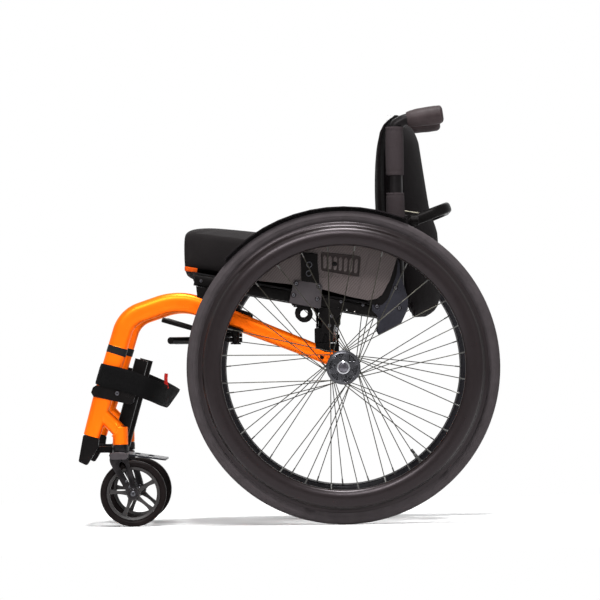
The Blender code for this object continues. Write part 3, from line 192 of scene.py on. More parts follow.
def finer(path, gap=0.006):
    # the same line with points about one gap apart
    steps = np.linalg.norm(np.diff(path, axis=0), axis=1)
    run = np.concatenate([[0], np.cumsum(steps)])
    wanted = np.unique(np.concatenate([run, np.arange(0, run[-1], gap)]))
    return np.stack([np.interp(wanted, run, path[:, k]) for k in range(3)], -1)


def shares(path):
    # running length along a path as a share of the whole
    run = np.concatenate([[0], np.cumsum(np.linalg.norm(np.diff(path, axis=0), axis=1))])
    return run / run[-1]


def ovalRing(count, power):
    # unit superellipse: cosine and sine raised to 2 / power, signs kept
    t = 2 * np.pi * (np.arange(count) + 0.5) / count
    c, s = np.cos(t), np.sin(t)
    return np.sign(c) * np.abs(c) ** (2 / power), np.sign(s) * np.abs(s) ** (2 / power)


def tubeAlong(path, across, wide, tall, count=28, power=2.0, caps=(True, True), look=0):
    # an oval ring carried along a path: across stays fixed, and up is across times the tangent
    path, across = np.asarray(path, float), unit(across)
    before = np.vstack([path[:1], path[:-1]])
    after = np.vstack([path[1:], path[-1:]])
    up = unit(np.cross(across, unit(after - before)))
    side = unit(np.cross(unit(after - before), up))
    c, s = ovalRing(count, power)
    wide = np.broadcast_to(wide, len(path))[:, None, None]
    tall = np.broadcast_to(tall, len(path))[:, None, None]
    points = path[:, None] + side[:, None] * wide * c[:, None] + up[:, None] * tall * s[:, None]
    return patch(points, caps=caps, look=look)


def spun(profile, centre, axis=(0, -1, 0), steps=96, ring=True, caps=(True, True), look=0):
    # a profile of (radius, height) turned round an axis; a ring's profile closes on itself
    axis = unit(axis)
    first = unit(np.cross(axis, (0.0, 0.0, 1.0)) if abs(axis[2]) < 0.9 else (1.0, 0.0, 0.0))
    first = unit(first - axis * (first @ axis))
    second = np.cross(axis, first)
    t = 2 * np.pi * np.arange(steps) / steps
    profile = np.asarray(profile, float)
    round_ = np.cos(t)[:, None] * first + np.sin(t)[:, None] * second
    points = np.asarray(centre) + profile[:, :1, None] * round_[None] + profile[:, 1:, None] * axis
    return patch(points, wrapRows=ring, caps=(False, False) if ring else caps, look=look)


def smoothLoop(points, repeats=2):
    # corners cut off a closed outline: each edge keeps its middle, from 0.22 to 0.78 of its length
    points = np.asarray(points, float)
    for _ in range(repeats):
        nextOne = np.roll(points, -1, 0)
        points = np.stack([0.78 * points + 0.22 * nextOne, 0.22 * points + 0.78 * nextOne], 1).reshape(-1, 2)
    return points


def softCorners(points, radius):
    # each corner of a closed outline becomes a short curve between points a radius away from it
    points = np.asarray(points, float)
    before, after = np.roll(points, 1, 0) - points, np.roll(points, -1, 0) - points
    a, b = points + unit(before) * radius, points + unit(after) * radius
    t = np.linspace(0, 1, 5)[:, None, None]
    curve = (1 - t) ** 2 * a + 2 * t * (1 - t) * points + t**2 * b
    return curve.transpose(1, 0, 2).reshape(-1, 2)


def slabOf(outline, low, high, edge=0.0006, plane="xz", look=0):
    # an outline pushed from low to high, its rims drawn in a little so that they catch light
    outline = np.asarray(outline, float)
    middle = outline.mean(0)
    drawn = outline + unit(middle - outline) * edge
    rings = []
    for level, loop in ((low, drawn), (low + edge, outline), (high - edge, outline), (high, drawn)):
        flat = np.full((len(loop), 1), level)
        order = {"xz": (loop[:, :1], flat, loop[:, 1:]), "xy": (loop[:, :1], loop[:, 1:], flat)}
        rings.append(np.concatenate(order[plane], 1))
    return patch(np.stack(rings), caps=(True, True), look=look)


def screwHead(centre, axis, radius, height, look=0, socket=True):
    # a low domed head with a hexagonal socket, drawn as a darker hexagon laid on the head: painted shade for
    # the hole
    axis = unit(axis)
    rise = [(radius, 0), (radius, height * 0.45), (radius * 0.88, height * 0.85), (radius * 0.62, height)]
    found = [spun(rise, centre, axis, 24, ring=False, look=look)]
    if socket:
        # the socket's darker hexagon is painted shade, not a hole
        socketShadeDisc = [(radius * 0.42, height * 1.04), (radius * 0.40, height * 1.01)]
        found.append(spun(socketShadeDisc, centre, axis, 6, ring=False, look=look + 1))
    return found


def addNode(tree, kind, ins=None, **settings):
    made = tree.nodes.new("ShaderNode" + kind)
    for key, value in settings.items():
        setattr(made, key, value)
    for key, value in (ins or {}).items():
        if isinstance(value, bpy.types.NodeSocket):
            tree.links.new(value, made.inputs[key])
        else:
            made.inputs[key].default_value = value
    return made


def blankMaterial(name):
    material = bpy.data.materials.new(name)
    material.use_nodes = True
    tree = material.node_tree
    tree.nodes.clear()
    out = addNode(tree, "OutputMaterial")
    shader = addNode(tree, "BsdfPrincipled")
    tree.links.new(shader.outputs[0], out.inputs[0])
    return material, tree, shader


def colourMix(tree, share, a, b):
    made = addNode(tree, "Mix", data_type="RGBA")
    for index, value in ((0, share), (6, a), (7, b)):
        if isinstance(value, bpy.types.NodeSocket):
            tree.links.new(value, made.inputs[index])
        else:
            made.inputs[index].default_value = value if index == 0 else (*value, 1)
    return made.outputs[2]


def sums(tree, operation, a, b=None):
    ins = {i: v for i, v in enumerate((a, b)) if v is not None}
    return addNode(tree, "Math", ins, operation=operation).outputs[0]


def ranged(tree, value, low, high, newLow=0.0, newHigh=1.0):
    ins = {"Value": value, "From Min": low, "From Max": high, "To Min": newLow, "To Max": newHigh}
    return addNode(tree, "MapRange", ins).outputs[0]


def noise(tree, place, scale, detail=3.0, rough=0.5):
    ins = {"Vector": place, "Scale": scale, "Detail": detail, "Roughness": rough}
    return addNode(tree, "TexNoise", ins).outputs[0]


def hardFinish(name, look):
    # Metal, paint, rubber or moulded plastic: two tones in soft blotches, a fine grain in the
    # bump, and edges rounded for the light and painted paler, partly rubbed wear, partly painted highlight.
    material, tree, shader = blankMaterial(name)
    place = addNode(tree, "TexCoord").outputs["Object"]
    blotch = ranged(tree, noise(tree, place, look.get("blotch", 22), 4, 0.6), 0.35, 0.68)
    tone = colourMix(tree, blotch, look["colour"], look["other"])
    fine = noise(tree, place, look.get("grain", 1400), 2, 0.6)
    low, high = look["rough"]
    rough = ranged(tree, noise(tree, place, 60, 5, 0.65), 0.3, 0.7, low, high)
    bump = {"Strength": look.get("grainDepth", 0.1), "Distance": 0.0004, "Height": fine}
    normal = addNode(tree, "Bump", bump)
    if look.get("edge"):
        soft = addNode(tree, "Bevel", {"Radius": look["edge"]}, samples=4)
        tree.links.new(soft.outputs[0], normal.inputs["Normal"])
        true = addNode(tree, "NewGeometry").outputs["Normal"]
        dot = addNode(
            tree, "VectorMath", {0: soft.outputs[0], 1: true}, operation="DOT_PRODUCT",
        ).outputs["Value"]
        # edges painted paler by the bevel mask: partly rubbed wear, partly a painted edge highlight
        wearAndGlint = sums(tree, "MULTIPLY", ranged(tree, dot, 0.97, 0.80), ranged(tree, fine, 0.35, 0.6, 0.25, 1.0))
        tone = colourMix(
            tree, sums(tree, "MULTIPLY", wearAndGlint, look.get("wearAndGlintShare", 0.3)), tone,
            look.get("wearAndGlint", (0.3, 0.3, 0.3)),
        )
    tree.links.new(tone, shader.inputs["Base Color"])
    tree.links.new(rough, shader.inputs["Roughness"])
    tree.links.new(normal.outputs[0], shader.inputs["Normal"])
    shader.inputs["Metallic"].default_value = look.get("metal", 0.0)
    shader.inputs["Specular IOR Level"].default_value = look.get("specular", 0.5)
    shader.inputs["Specular Tint"].default_value = look.get("tint", (1, 1, 1, 1))
    return material


def threadWaves(tree, place, pitch):
    # the sine of each coordinate times pi over the pitch; two of them multiplied are a plain weave
    spread = addNode(tree, "VectorMath", {0: place, 1: (math.pi / pitch,) * 3}, operation="MULTIPLY")
    parts = addNode(tree, "SeparateXYZ", {0: spread.outputs[0]}).outputs
    return [sums(tree, "SINE", parts[k]) for k in range(3)]


def clothFinish(name, look):
    # Woven cloth. The weave runs on the piece's own lengthwise and crosswise map, or on three
    # planes chosen by the way the surface faces. Below it lie creases and a heather of two yarns.
    material, tree, shader = blankMaterial(name)
    coords = addNode(tree, "TexCoord").outputs
    place = coords["Object"]
    if look.get("mapped", True):
        waves = threadWaves(tree, coords["UV"], look["pitch"])
        weave = sums(tree, "MULTIPLY", waves[0], waves[1])
    else:
        waves = threadWaves(tree, place, look["pitch"])
        facing = addNode(tree, "SeparateXYZ", {0: coords["Normal"]}).outputs
        weave = 0.0
        for across, along, away in ((1, 2, 0), (0, 2, 1), (0, 1, 2)):
            share = sums(tree, "MULTIPLY", facing[away], facing[away])
            crossed = sums(tree, "MULTIPLY", waves[across], waves[along])
            weave = sums(tree, "ADD", weave, sums(tree, "MULTIPLY", share, crossed))
    heather = noise(tree, place, 900, 3, 0.7)
    broad = ranged(tree, noise(tree, place, 9, 4, 0.6), 0.3, 0.7)
    tone = colourMix(tree, ranged(tree, heather, 0.35, 0.65), look["colour"], look["other"])
    tone = colourMix(tree, sums(tree, "MULTIPLY", broad, 0.35), tone, look["faded"])
    tone = colourMix(tree, ranged(tree, weave, -0.9, 0.9, 0.35, 0.0), tone, look["shade"])
    creases = noise(tree, place, look.get("crease", 26), 5, 0.55)
    height = sums(tree, "ADD", sums(tree, "MULTIPLY", weave, 0.5), sums(tree, "MULTIPLY", heather, 0.5))
    fine = {"Strength": look.get("depth", 0.35), "Distance": look["pitch"] * 0.45, "Height": height}
    soft = {"Strength": look["creaseDepth"], "Distance": 0.004, "Height": creases}
    fine["Normal"] = addNode(tree, "Bump", soft).outputs[0]
    tree.links.new(addNode(tree, "Bump", fine).outputs[0], shader.inputs["Normal"])
    tree.links.new(tone, shader.inputs["Base Color"])
    tree.links.new(ranged(tree, broad, 0, 1, *look["rough"]), shader.inputs["Roughness"])
    shader.inputs["Sheen Weight"].default_value = 0.01
    shader.inputs["Sheen Roughness"].default_value = 0.45
    shader.inputs["Specular IOR Level"].default_value = 0.03
    return material


def twillFinish(name, look):
    # Cloth of dark fibre tows under clear resin: stripes along one diagonal of the panel, the sine
    # of the place across them with a slow wave added, each with finer sines as lines on it.
    material, tree, shader = blankMaterial(name)
    place = addNode(tree, "TexCoord").outputs["Object"]
    turned = addNode(
        tree, "Mapping", {"Vector": place, "Rotation": (0, math.radians(look["lean"]), 0)},
    ).outputs[0]
    scaled = addNode(
        tree, "VectorMath", {0: turned, 1: (math.pi / look["tow"],) * 3}, operation="MULTIPLY",
    ).outputs[0]
    x, _, z = addNode(tree, "SeparateXYZ", {0: scaled}).outputs
    wave = sums(tree, "MULTIPLY", sums(tree, "SINE", sums(tree, "MULTIPLY", z, 0.5)), 0.5)
    stripes = sums(tree, "SINE", sums(tree, "ADD", x, wave))
    over = ranged(tree, stripes, -0.6, 0.6)
    fineX = sums(tree, "SINE", sums(tree, "MULTIPLY", x, look["lines"]))
    fineZ = sums(tree, "SINE", sums(tree, "MULTIPLY", z, look["lines"]))
    lines = sums(
        tree, "ADD", sums(tree, "MULTIPLY", fineX, over),
        sums(tree, "MULTIPLY", fineZ, sums(tree, "SUBTRACT", 1.0, over)),
    )
    streak = ranged(tree, noise(tree, scaled, 0.35, 4, 0.6), 0.3, 0.7)
    tone = colourMix(tree, over, look["colour"], look["other"])
    tone = colourMix(tree, ranged(tree, lines, -1, 1, 0.0, 0.45), tone, look["line"])
    tone = colourMix(tree, sums(tree, "MULTIPLY", streak, 0.4), tone, look["haze"])
    height = sums(tree, "ADD", stripes, sums(tree, "MULTIPLY", lines, 0.25))
    soft = addNode(tree, "Bevel", {"Radius": 0.0007}, samples=4).outputs[0]
    bump = addNode(tree, "Bump", {"Strength": 0.16, "Distance": 0.0002, "Height": height, "Normal": soft})
    tree.links.new(bump.outputs[0], shader.inputs["Normal"])
    tree.links.new(tone, shader.inputs["Base Color"])
    tree.links.new(ranged(tree, lines, -1, 1, *look["rough"]), shader.inputs["Roughness"])
    shader.inputs["Metallic"].default_value = look["metal"]
    shader.inputs["Specular IOR Level"].default_value = 0.2
    shader.inputs["Coat Weight"].default_value = 0.08
    shader.inputs["Coat Roughness"].default_value = 0.12
    return material


# each look's paler edge colour is partly rubbed wear and partly a painted edge highlight
hardLooks = {
    "orangePaint": dict(
        tint=(1.0, 0.85, 0.25, 1), colour=(0.92, 0.130, 0.0012), other=(0.84, 0.108, 0.001), blotch=9,
        rough=(0.34, 0.40), grain=520, grainDepth=0.04, edge=0.0012, wearAndGlint=(1.0, 0.40, 0.03), wearAndGlintShare=0.4,
        metal=0.50, specular=0.40,
    ),
    "blackAnodised": dict(
        colour=(0.0034, 0.0030, 0.0030), other=(0.0058, 0.0050, 0.0050), rough=(0.30, 0.44), metal=0.45,
        edge=0.0009, wearAndGlint=(0.035, 0.034, 0.037), wearAndGlintShare=0.4, specular=0.07,
    ),
    "greyAnodised": dict(
        colour=(0.0165, 0.0160, 0.0205), other=(0.0240, 0.0235, 0.0300), rough=(0.32, 0.44), metal=0.5,
        edge=0.0008, wearAndGlint=(0.15, 0.15, 0.165), wearAndGlintShare=0.6, specular=0.10,
    ),
    "hubMetal": dict(
        colour=(0.022, 0.022, 0.025), other=(0.050, 0.050, 0.056), blotch=55, rough=(0.20, 0.32), metal=0.8,
        edge=0.0007, wearAndGlint=(0.30, 0.30, 0.32), wearAndGlintShare=0.7,
    ),
    "forkMetal": dict(
        colour=(0.0045, 0.0040, 0.0044), other=(0.0200, 0.0180, 0.0190), blotch=48, rough=(0.24, 0.36),
        metal=0.6, edge=0.0009, wearAndGlint=(0.11, 0.105, 0.115), wearAndGlintShare=0.6, specular=0.10,
    ),
    "plateSatin": dict(
        colour=(0.032, 0.028, 0.030), other=(0.046, 0.040, 0.043), rough=(0.40, 0.52), metal=0.3,
        edge=0.0007, wearAndGlint=(0.14, 0.13, 0.14), wearAndGlintShare=0.6, specular=0.12,
    ),
    "steel": dict(
        colour=(0.42, 0.42, 0.44), other=(0.30, 0.30, 0.32), rough=(0.16, 0.30), metal=1.0, grain=2400,
        grainDepth=0.06,
    ),
    "darkBolt": dict(
        colour=(0.050, 0.050, 0.056), other=(0.085, 0.085, 0.095), rough=(0.22, 0.36), metal=0.9,
        edge=0.0003, wearAndGlint=(0.34, 0.34, 0.36), wearAndGlintShare=0.6, specular=0.2,
    ),
    "darkCap": dict(
        colour=(0.060, 0.056, 0.066), other=(0.110, 0.104, 0.120), blotch=90, rough=(0.12, 0.20), metal=0.9,
    ),
    "tyreRubber": dict(
        colour=(0.033, 0.028, 0.0295), other=(0.043, 0.0365, 0.039), blotch=40, rough=(0.62, 0.80),
        grain=1500, grainDepth=0.30, specular=0.07,
    ),
    "castorRubber": dict(
        colour=(0.0050, 0.0034, 0.0034), other=(0.0085, 0.0060, 0.0060), blotch=40, rough=(0.34, 0.48),
        grain=1500, grainDepth=0.10, specular=0.04,
    ),
    "rimBlack": dict(
        colour=(0.0085, 0.0082, 0.0100), other=(0.0130, 0.0125, 0.0150), rough=(0.24, 0.36), metal=0.3,
        edge=0.0008, wearAndGlint=(0.08, 0.08, 0.09), specular=0.16,
    ),
    "spokeDark": dict(
        colour=(0.036, 0.034, 0.026), other=(0.020, 0.019, 0.015), blotch=60, rough=(0.26, 0.38), metal=0.6,
        specular=0.2,
    ),
    "nippleDark": dict(
        colour=(0.085, 0.084, 0.080), other=(0.050, 0.049, 0.047), rough=(0.24, 0.36), metal=0.8,
    ),
    "handrimSatin": dict(
        tint=(1.0, 0.88, 0.94, 1), colour=(0.0030, 0.0016, 0.0015), other=(0.0044, 0.0026, 0.0025), blotch=7,
        rough=(0.27, 0.34), grain=1900, grainDepth=0.02, specular=0.22,
    ),
    "castorPlastic": dict(
        colour=(0.0160, 0.0140, 0.0140), other=(0.024, 0.021, 0.021), rough=(0.30, 0.42), edge=0.0007,
        wearAndGlint=(0.08, 0.08, 0.085), specular=0.25,
    ),
    "postBlack": dict(
        colour=(0.0050, 0.0042, 0.0045), other=(0.0085, 0.0072, 0.0076), rough=(0.30, 0.42), metal=0.4,
        edge=0.0007, wearAndGlint=(0.09, 0.088, 0.095), specular=0.08,
    ),
    "gripRubber": dict(
        colour=(0.019, 0.0125, 0.0132), other=(0.030, 0.0210, 0.0220), blotch=35, rough=(0.48, 0.62),
        grain=900, grainDepth=0.35, specular=0.14,
    ),
    "fenderGloss": dict(
        colour=(0.0045, 0.0034, 0.0040), other=(0.0075, 0.0058, 0.0066), rough=(0.20, 0.30), edge=0.0006,
        wearAndGlint=(0.08, 0.07, 0.075), specular=0.10,
    ),
    "plugRubber": dict(
        colour=(0.0040, 0.0020, 0.0018), other=(0.0070, 0.0040, 0.0038), rough=(0.5, 0.65), edge=0.0008,
        wearAndGlint=(0.03, 0.028, 0.028), specular=0.05,
    ),
    # painted shade: the dark brown of the guard window's floor and rim stands for the recess's shade
    "paintedRecessShade": dict(
        colour=(0.0215, 0.0165, 0.0160), other=(0.0285, 0.0225, 0.0220), rough=(0.34, 0.46), specular=0.08,
    ),
    "bandBlack": dict(
        colour=(0.0060, 0.0060, 0.0065), other=(0.0100, 0.0100, 0.0110), rough=(0.32, 0.46), specular=0.07,
    ),
}
clothLooks = {
    "cushionCloth": dict(
        colour=(0.0070, 0.0060, 0.0062), other=(0.0150, 0.0132, 0.0134), faded=(0.019, 0.0165, 0.0165),
        shade=(0.0040, 0.0036, 0.0038), pitch=0.0011, mapped=False, rough=(0.72, 0.86), creaseDepth=0.25,
        crease=18,
    ),
    "backCloth": dict(
        colour=(0.0026, 0.0019, 0.0021), other=(0.0060, 0.0046, 0.0050), faded=(0.0075, 0.0060, 0.0065),
        shade=(0.0012, 0.0009, 0.0010), pitch=0.0011, mapped=False, rough=(0.72, 0.86), creaseDepth=0.40,
        crease=20,
    ),
    "sleeveCloth": dict(
        colour=(0.026, 0.0205, 0.0220), other=(0.040, 0.0325, 0.0345), faded=(0.043, 0.035, 0.037),
        shade=(0.013, 0.010, 0.011), pitch=0.0012, rough=(0.78, 0.90), creaseDepth=0.30, crease=45,
    ),
    "strapWeb": dict(
        colour=(0.0016, 0.0015, 0.0016), other=(0.0042, 0.0040, 0.0042), faded=(0.0055, 0.0053, 0.0055),
        shade=(0.0010, 0.0010, 0.0010), pitch=0.0016, rough=(0.60, 0.74), creaseDepth=0.12, crease=60,
        depth=0.6,
    ),
    "slingCloth": dict(
        colour=(0.0070, 0.0065, 0.0068), other=(0.0130, 0.0120, 0.0125), faded=(0.016, 0.015, 0.0155),
        shade=(0.003, 0.003, 0.003), pitch=0.0010, rough=(0.66, 0.80), creaseDepth=0.15,
    ),
    "orangeWeb": dict(
        colour=(0.40, 0.042, 0.004), other=(0.54, 0.070, 0.006), faded=(0.58, 0.10, 0.008),
        shade=(0.42, 0.07, 0.002), pitch=0.0014, rough=(0.62, 0.76), creaseDepth=0.1, depth=0.5,
    ),
    "redWeb": dict(
        colour=(0.36, 0.012, 0.010), other=(0.48, 0.022, 0.016), faded=(0.36, 0.03, 0.025),
        shade=(0.16, 0.004, 0.004), pitch=0.0010, rough=(0.6, 0.75), creaseDepth=0.1,
    ),
    "paleTape": dict(
        colour=(0.42, 0.39, 0.30), other=(0.55, 0.52, 0.42), faded=(0.46, 0.43, 0.36),
        shade=(0.24, 0.22, 0.17), pitch=0.0009, rough=(0.7, 0.85), creaseDepth=0.1,
    ),
}
twill = dict(
    colour=(0.034, 0.026, 0.025), other=(0.070, 0.055, 0.054), line=(0.120, 0.098, 0.096),
    haze=(0.070, 0.055, 0.054), tow=0.0021, lines=3.0, lean=-42, rough=(0.28, 0.40), metal=0.2,
)

finish = {name: hardFinish(name, look) for name, look in hardLooks.items()}
finish |= {name: clothFinish(name, look) for name, look in clothLooks.items()}
finish["carbonTwill"] = twillFinish("carbonTwill", twill)
print("finishes made")


def bothSides(name, patches, looks, body, nodeNames, sharp=38.0):
    # the left piece and its mirror image, each riding on its side's body in place of its nodes
    for side, sign in sides.items():
        mine = patches if sign < 0 else mirrored(patches)
        piece = pieceFrom(f"{name}_{side}", mine, looks, sharp)
        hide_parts(*[f"{n}_{side}" for n in nodeNames])
        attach(piece, f"{body}_{side}")


wheel = dict(
    radius=0.295, track=0.524, spokes=28, spokeRadius=0.0009, spokeFoot=0.0300, spokeOffset=0.024,
    rimInner=0.2305, valveTurn=-51.4, hubWidth=0.044, hubWindows=6, steps=168,
)
wheelCentre = np.array([axleX, -wheel["track"] / 2, wheel["radius"]])


def rearTyre():
    # crown: the radius falls with the square of the height across, less two narrow grooves;
    # below it a bulging side wall with a moulded line, down to the bead
    t = np.linspace(-1, 1, 33)
    dip = 0.0007 * (np.exp(-(((np.abs(t) - 0.34) / 0.06) ** 2)) + np.exp(-(((np.abs(t) - 0.72) / 0.05) ** 2)))
    crown = np.stack([wheel["radius"] - 0.0030 * t**2 - dip, 0.0086 * t], 1)
    wall = [(0.2905, 0.0100), (0.2880, 0.0113), (0.2855, 0.01215), (0.2845, 0.01255), (0.2835, 0.01225)]
    wall += [(0.2810, 0.0125), (0.2780, 0.0122), (0.2755, 0.0114), (0.2735, 0.0102), (0.2722, 0.0104)]
    wall = np.array(wall + [(0.2708, 0.0096), (0.2705, 0.0084)])
    profile = np.concatenate([crown, wall, wall[::-1] * (1, -1)])
    bothSides(
        "rearTyre", [spun(profile, wheelCentre, steps=wheel["steps"])], [finish["tyreRubber"]], "wheel",
        ["tyre"], 50,
    )


def rearRim():
    # a deep hollow-looking section turned round the axle, spokes laced tangent to the hub from
    # alternate flanges, a nipple at each spoke's outer end, and the valve
    half = [
        (0.2702, 0.0080), (0.2690, 0.0092), (0.2640, 0.0098), (0.2570, 0.0100), (0.2510, 0.0095),
        (0.2445, 0.0082),
    ]
    half += [(0.2385, 0.0068), (0.2335, 0.0058), (0.2314, 0.0048), (0.2305, 0.0030)]
    half = np.array(half)
    section = np.concatenate([half, half[::-1] * (1, -1)])
    start, end, tangent = wheel["spokeFoot"], wheel["rimInner"] + 0.003, wheel["spokeOffset"]
    leadIn = math.acos(tangent / end) - math.acos(tangent / start)
    looks = [finish["rimBlack"], finish["spokeDark"], finish["nippleDark"]]
    for side, sign in sides.items():
        found = [spun(section, wheelCentre, steps=wheel["steps"])]
        for k in range(wheel["spokes"]):
            atRim = 2 * math.pi * (k + (0.5 if sign < 0 else 0.93)) / wheel["spokes"]
            flange, trail = (1 if k % 2 else -1), (1 if k % 4 < 2 else -1)
            ends = []
            for radius, turn, dish in ((start, atRim - trail * leadIn, 0.0138), (end, atRim, 0.0030)):
                y = -(flange * dish + trail * 0.0022 * 0.62)
                ends.append(wheelCentre + (radius * math.cos(turn), y, radius * math.sin(turn)))
            along = unit(ends[1] - ends[0])
            length = np.linalg.norm(ends[1] - ends[0])
            r = wheel["spokeRadius"]
            rise = [(r * 1.5, 0.0), (r * 1.5, 0.0016), (r, 0.0024), (r, length)]
            found.append(spun(rise, ends[0], along, 8, ring=False, look=1))
            nipple = [(0.0011, 0), (0.0015, 0.0006), (0.0015, 0.0100), (0.0023, 0.0115), (0.0023, 0.0150)]
            found.append(spun(nipple, ends[1] - along * 0.0140, along, 6, ring=False, look=2))
        turn = math.radians(wheel["valveTurn"])
        out = np.array([math.cos(turn), 0, math.sin(turn)])
        stem = [
            (0.0024, 0), (0.0030, 0.0010), (0.0030, 0.0100), (0.0025, 0.0106), (0.0025, 0.0180),
            (0.0042, 0.0190), (0.0042, 0.0225),
        ]
        found.append(spun(
            stem, wheelCentre + out * (wheel["rimInner"] - 0.0207), out, 20, ring=False, look=2,
        ))
        piece = pieceFrom(f"rearRim_{side}", found if sign < 0 else mirrored(found), looks)
        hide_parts(f"rim_{side}")
        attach(piece, f"wheel_{side}")


def wheelHub():
    # a turned flanged body; over it a face plate whose height is cut by six wedge windows, the
    # depth growing with the distance inside each window's edges, and a bolt between windows
    y = wheel["hubWidth"] / 2
    body = [
        (0.0068, -y), (0.0175, -y), (0.0185, -0.0205), (0.0185, -0.0190), (0.0310, -0.0180),
        (0.0322, -0.0168),
    ]
    body += [
        (0.0322, -0.0098), (0.0310, -0.0088), (0.0175, -0.0078), (0.0160, -0.0060), (0.0160, 0.0060),
        (0.0175, 0.0078),
    ]
    body += [(0.0310, 0.0088), (0.0322, 0.0098), (0.0322, 0.0118), (0.0305, 0.0124), (0.0068, 0.0124)]
    found = [spun(body, wheelCentre, steps=72)]
    steps, r = 360, np.concatenate([
        [0.0068, 0.0070], np.linspace(0.0100, 0.0300, 54), [0.0310, 0.0318, 0.0322],
    ])
    theta = 2 * np.pi * np.arange(steps) / steps
    pitch = 2 * math.pi / wheel["hubWindows"]
    away = (theta[None] - math.radians(46) + pitch / 2) % pitch - pitch / 2
    swing = 0.34 * np.clip((r - 0.0140) / 0.0118, 0, 1)[:, None]
    inside = np.minimum(
        np.minimum((swing - np.abs(away)) * r[:, None], (r - 0.0150)[:, None]), (0.0264 - r)[:, None],
    )
    depth = 0.0085 * np.clip(inside / 0.0007, 0, 1) ** 0.6
    crown = y - 0.0030 * np.clip((r - 0.0240) / 0.0082, 0, 1) ** 2 - 0.0004 * (r < 0.0069)
    height = crown[:, None] - depth
    back = np.full((2, steps), 0.0126)
    radius = np.concatenate([np.repeat(r[:, None], steps, 1), [[0.0322] * steps, [0.0068] * steps]])
    height = np.concatenate([height, back])
    points = np.stack([radius * np.cos(theta), -height, radius * np.sin(theta)], -1) + wheelCentre
    found.append(patch(points, wrapRows=True))
    for k in range(wheel["hubWindows"]):
        turn = math.radians(16 + 360 / wheel["hubWindows"] * k)
        spot = wheelCentre + (0.0262 * math.cos(turn), -y + 0.0002, 0.0262 * math.sin(turn))
        found += screwHead(spot, (0, -1, 0), 0.0021, 0.0011, look=1)
    looks = [finish["hubMetal"], finish["darkBolt"], finish["bandBlack"]]
    bothSides("wheelHub", found, looks, "wheel", ["hub"], 32)


handrim = dict(outer=0.274, inner=0.229, offset=0.033, flange=0.0105, wide=0.0105, tabs=6)


def handRim():
    # an oval grip with a flat flange towards the tyre, on six short tabs
    outer, inner, offset, wide = handrim["outer"], handrim["inner"], handrim["offset"], handrim["wide"]
    middle, tall = (outer - handrim["flange"] + inner) / 2, (outer - handrim["flange"] - inner) / 2
    t = np.radians(np.linspace(10, 322, 40))
    profile = np.stack([middle + tall * np.cos(t), offset + wide * np.sin(t)], 1).tolist()
    profile += [
        (0.2645, 0.0212), (0.2700, 0.0198), (0.2722, 0.0197), (0.2730, 0.0203), (0.2731, 0.0214),
        (0.2722, 0.0223), (0.2690, 0.0228), (0.2655, 0.0252),
    ]
    found = [spun(profile, wheelCentre, steps=wheel["steps"])]
    for k in range(handrim["tabs"]):
        turn = 2 * math.pi * (k + 0.25) / handrim["tabs"]
        corners = np.array([(0.2560, -0.011), (0.2640, -0.0095), (0.2640, 0.0095), (0.2560, 0.011)])
        corners = smoothLoop(corners, 2)
        c, s = math.cos(turn), math.sin(turn)
        outline = corners @ np.array([[c, s], [-s, c]]) + wheelCentre[[0, 2]]
        found.append(slabOf(outline, wheelCentre[1] - 0.0245, wheelCentre[1] - 0.0102, 0.0008))
    bothSides("handRim", found, [finish["handrimSatin"]], "wheel", ["handrim"], 45)


castor = dict(radius=0.0625, width=0.024, trail=0.023, stem=-0.4235 + axleX, arms=5, steps=96)
castorAxle = np.array([castor["stem"] + castor["trail"], -0.195, castor["radius"]])


def castorTyre():
    # a solid tread: flat crown, rounded shoulders, and a step down to the wheel's seat
    half = castor["width"] / 2
    t = np.linspace(0, np.pi / 2, 8)
    shoulder = np.stack([0.0585 + 0.0040 * np.sin(t), half * 0.46 + half * 0.54 * np.cos(t)], 1)[::-1]
    side = [
        (0.0560, half), (0.0545, half * 0.985), (0.0530, half * 0.90), (0.0520, half * 0.86),
        (0.0506, half * 0.76),
    ]
    rightSide = np.concatenate([shoulder, side])
    profile = np.concatenate([rightSide, rightSide[::-1] * (1, -1)])
    bothSides(
        "castorTread", [spun(profile, castorAxle, steps=castor["steps"])], [finish["castorRubber"]],
        "castor", ["castor_tyre"], 40,
    )


def castorWheel():
    # a moulded ring and boss joined by five waisted arms, and the bearing's cap
    ring = [
        (0.0446, 0.0074), (0.0455, 0.0086), (0.0500, 0.0100), (0.0502, 0.0098), (0.0502, -0.0098),
        (0.0500, -0.0100), (0.0455, -0.0086), (0.0446, -0.0074),
    ]
    boss = [(0.0048, 0.0128), (0.0098, 0.0130), (0.0108, 0.0124), (0.0126, 0.0098), (0.0130, 0.0060)]
    boss = boss + [(r, -h) for r, h in reversed(boss)]
    found = [spun(ring, castorAxle, steps=castor["steps"]), spun(boss, castorAxle, steps=48)]
    for k in range(castor["arms"]):
        turn = 2 * math.pi * k / castor["arms"] + 0.55
        r = np.linspace(0.0105, 0.0462, 16)
        share = (r - 0.0105) / 0.0357
        low, high = -0.0034 - 0.0030 * (2 * share - 1) ** 2, 0.0028 + 0.0016 * (2 * share - 1) ** 2
        outline = np.concatenate([np.stack([r, low], 1), np.stack([r, high], 1)[::-1]])
        c, s = math.cos(turn), math.sin(turn)
        outline = outline @ np.array([[c, s], [-s, c]]) + castorAxle[[0, 2]]
        found.append(slabOf(outline, castorAxle[1] - 0.0056, castorAxle[1] + 0.0056, 0.0008))
    cap = [(0.0049, 0.0126), (0.0075, 0.0134), (0.0088, 0.0132), (0.0090, 0.0126)]
    found.append(spun(cap + [(0.0085, 0.0120), (0.0049, 0.0120)], castorAxle, steps=36, look=1))
    bothSides(
        "castorWheel", found, [finish["castorPlastic"], finish["darkBolt"]], "castor", ["castor_wheel"],
        35,
    )


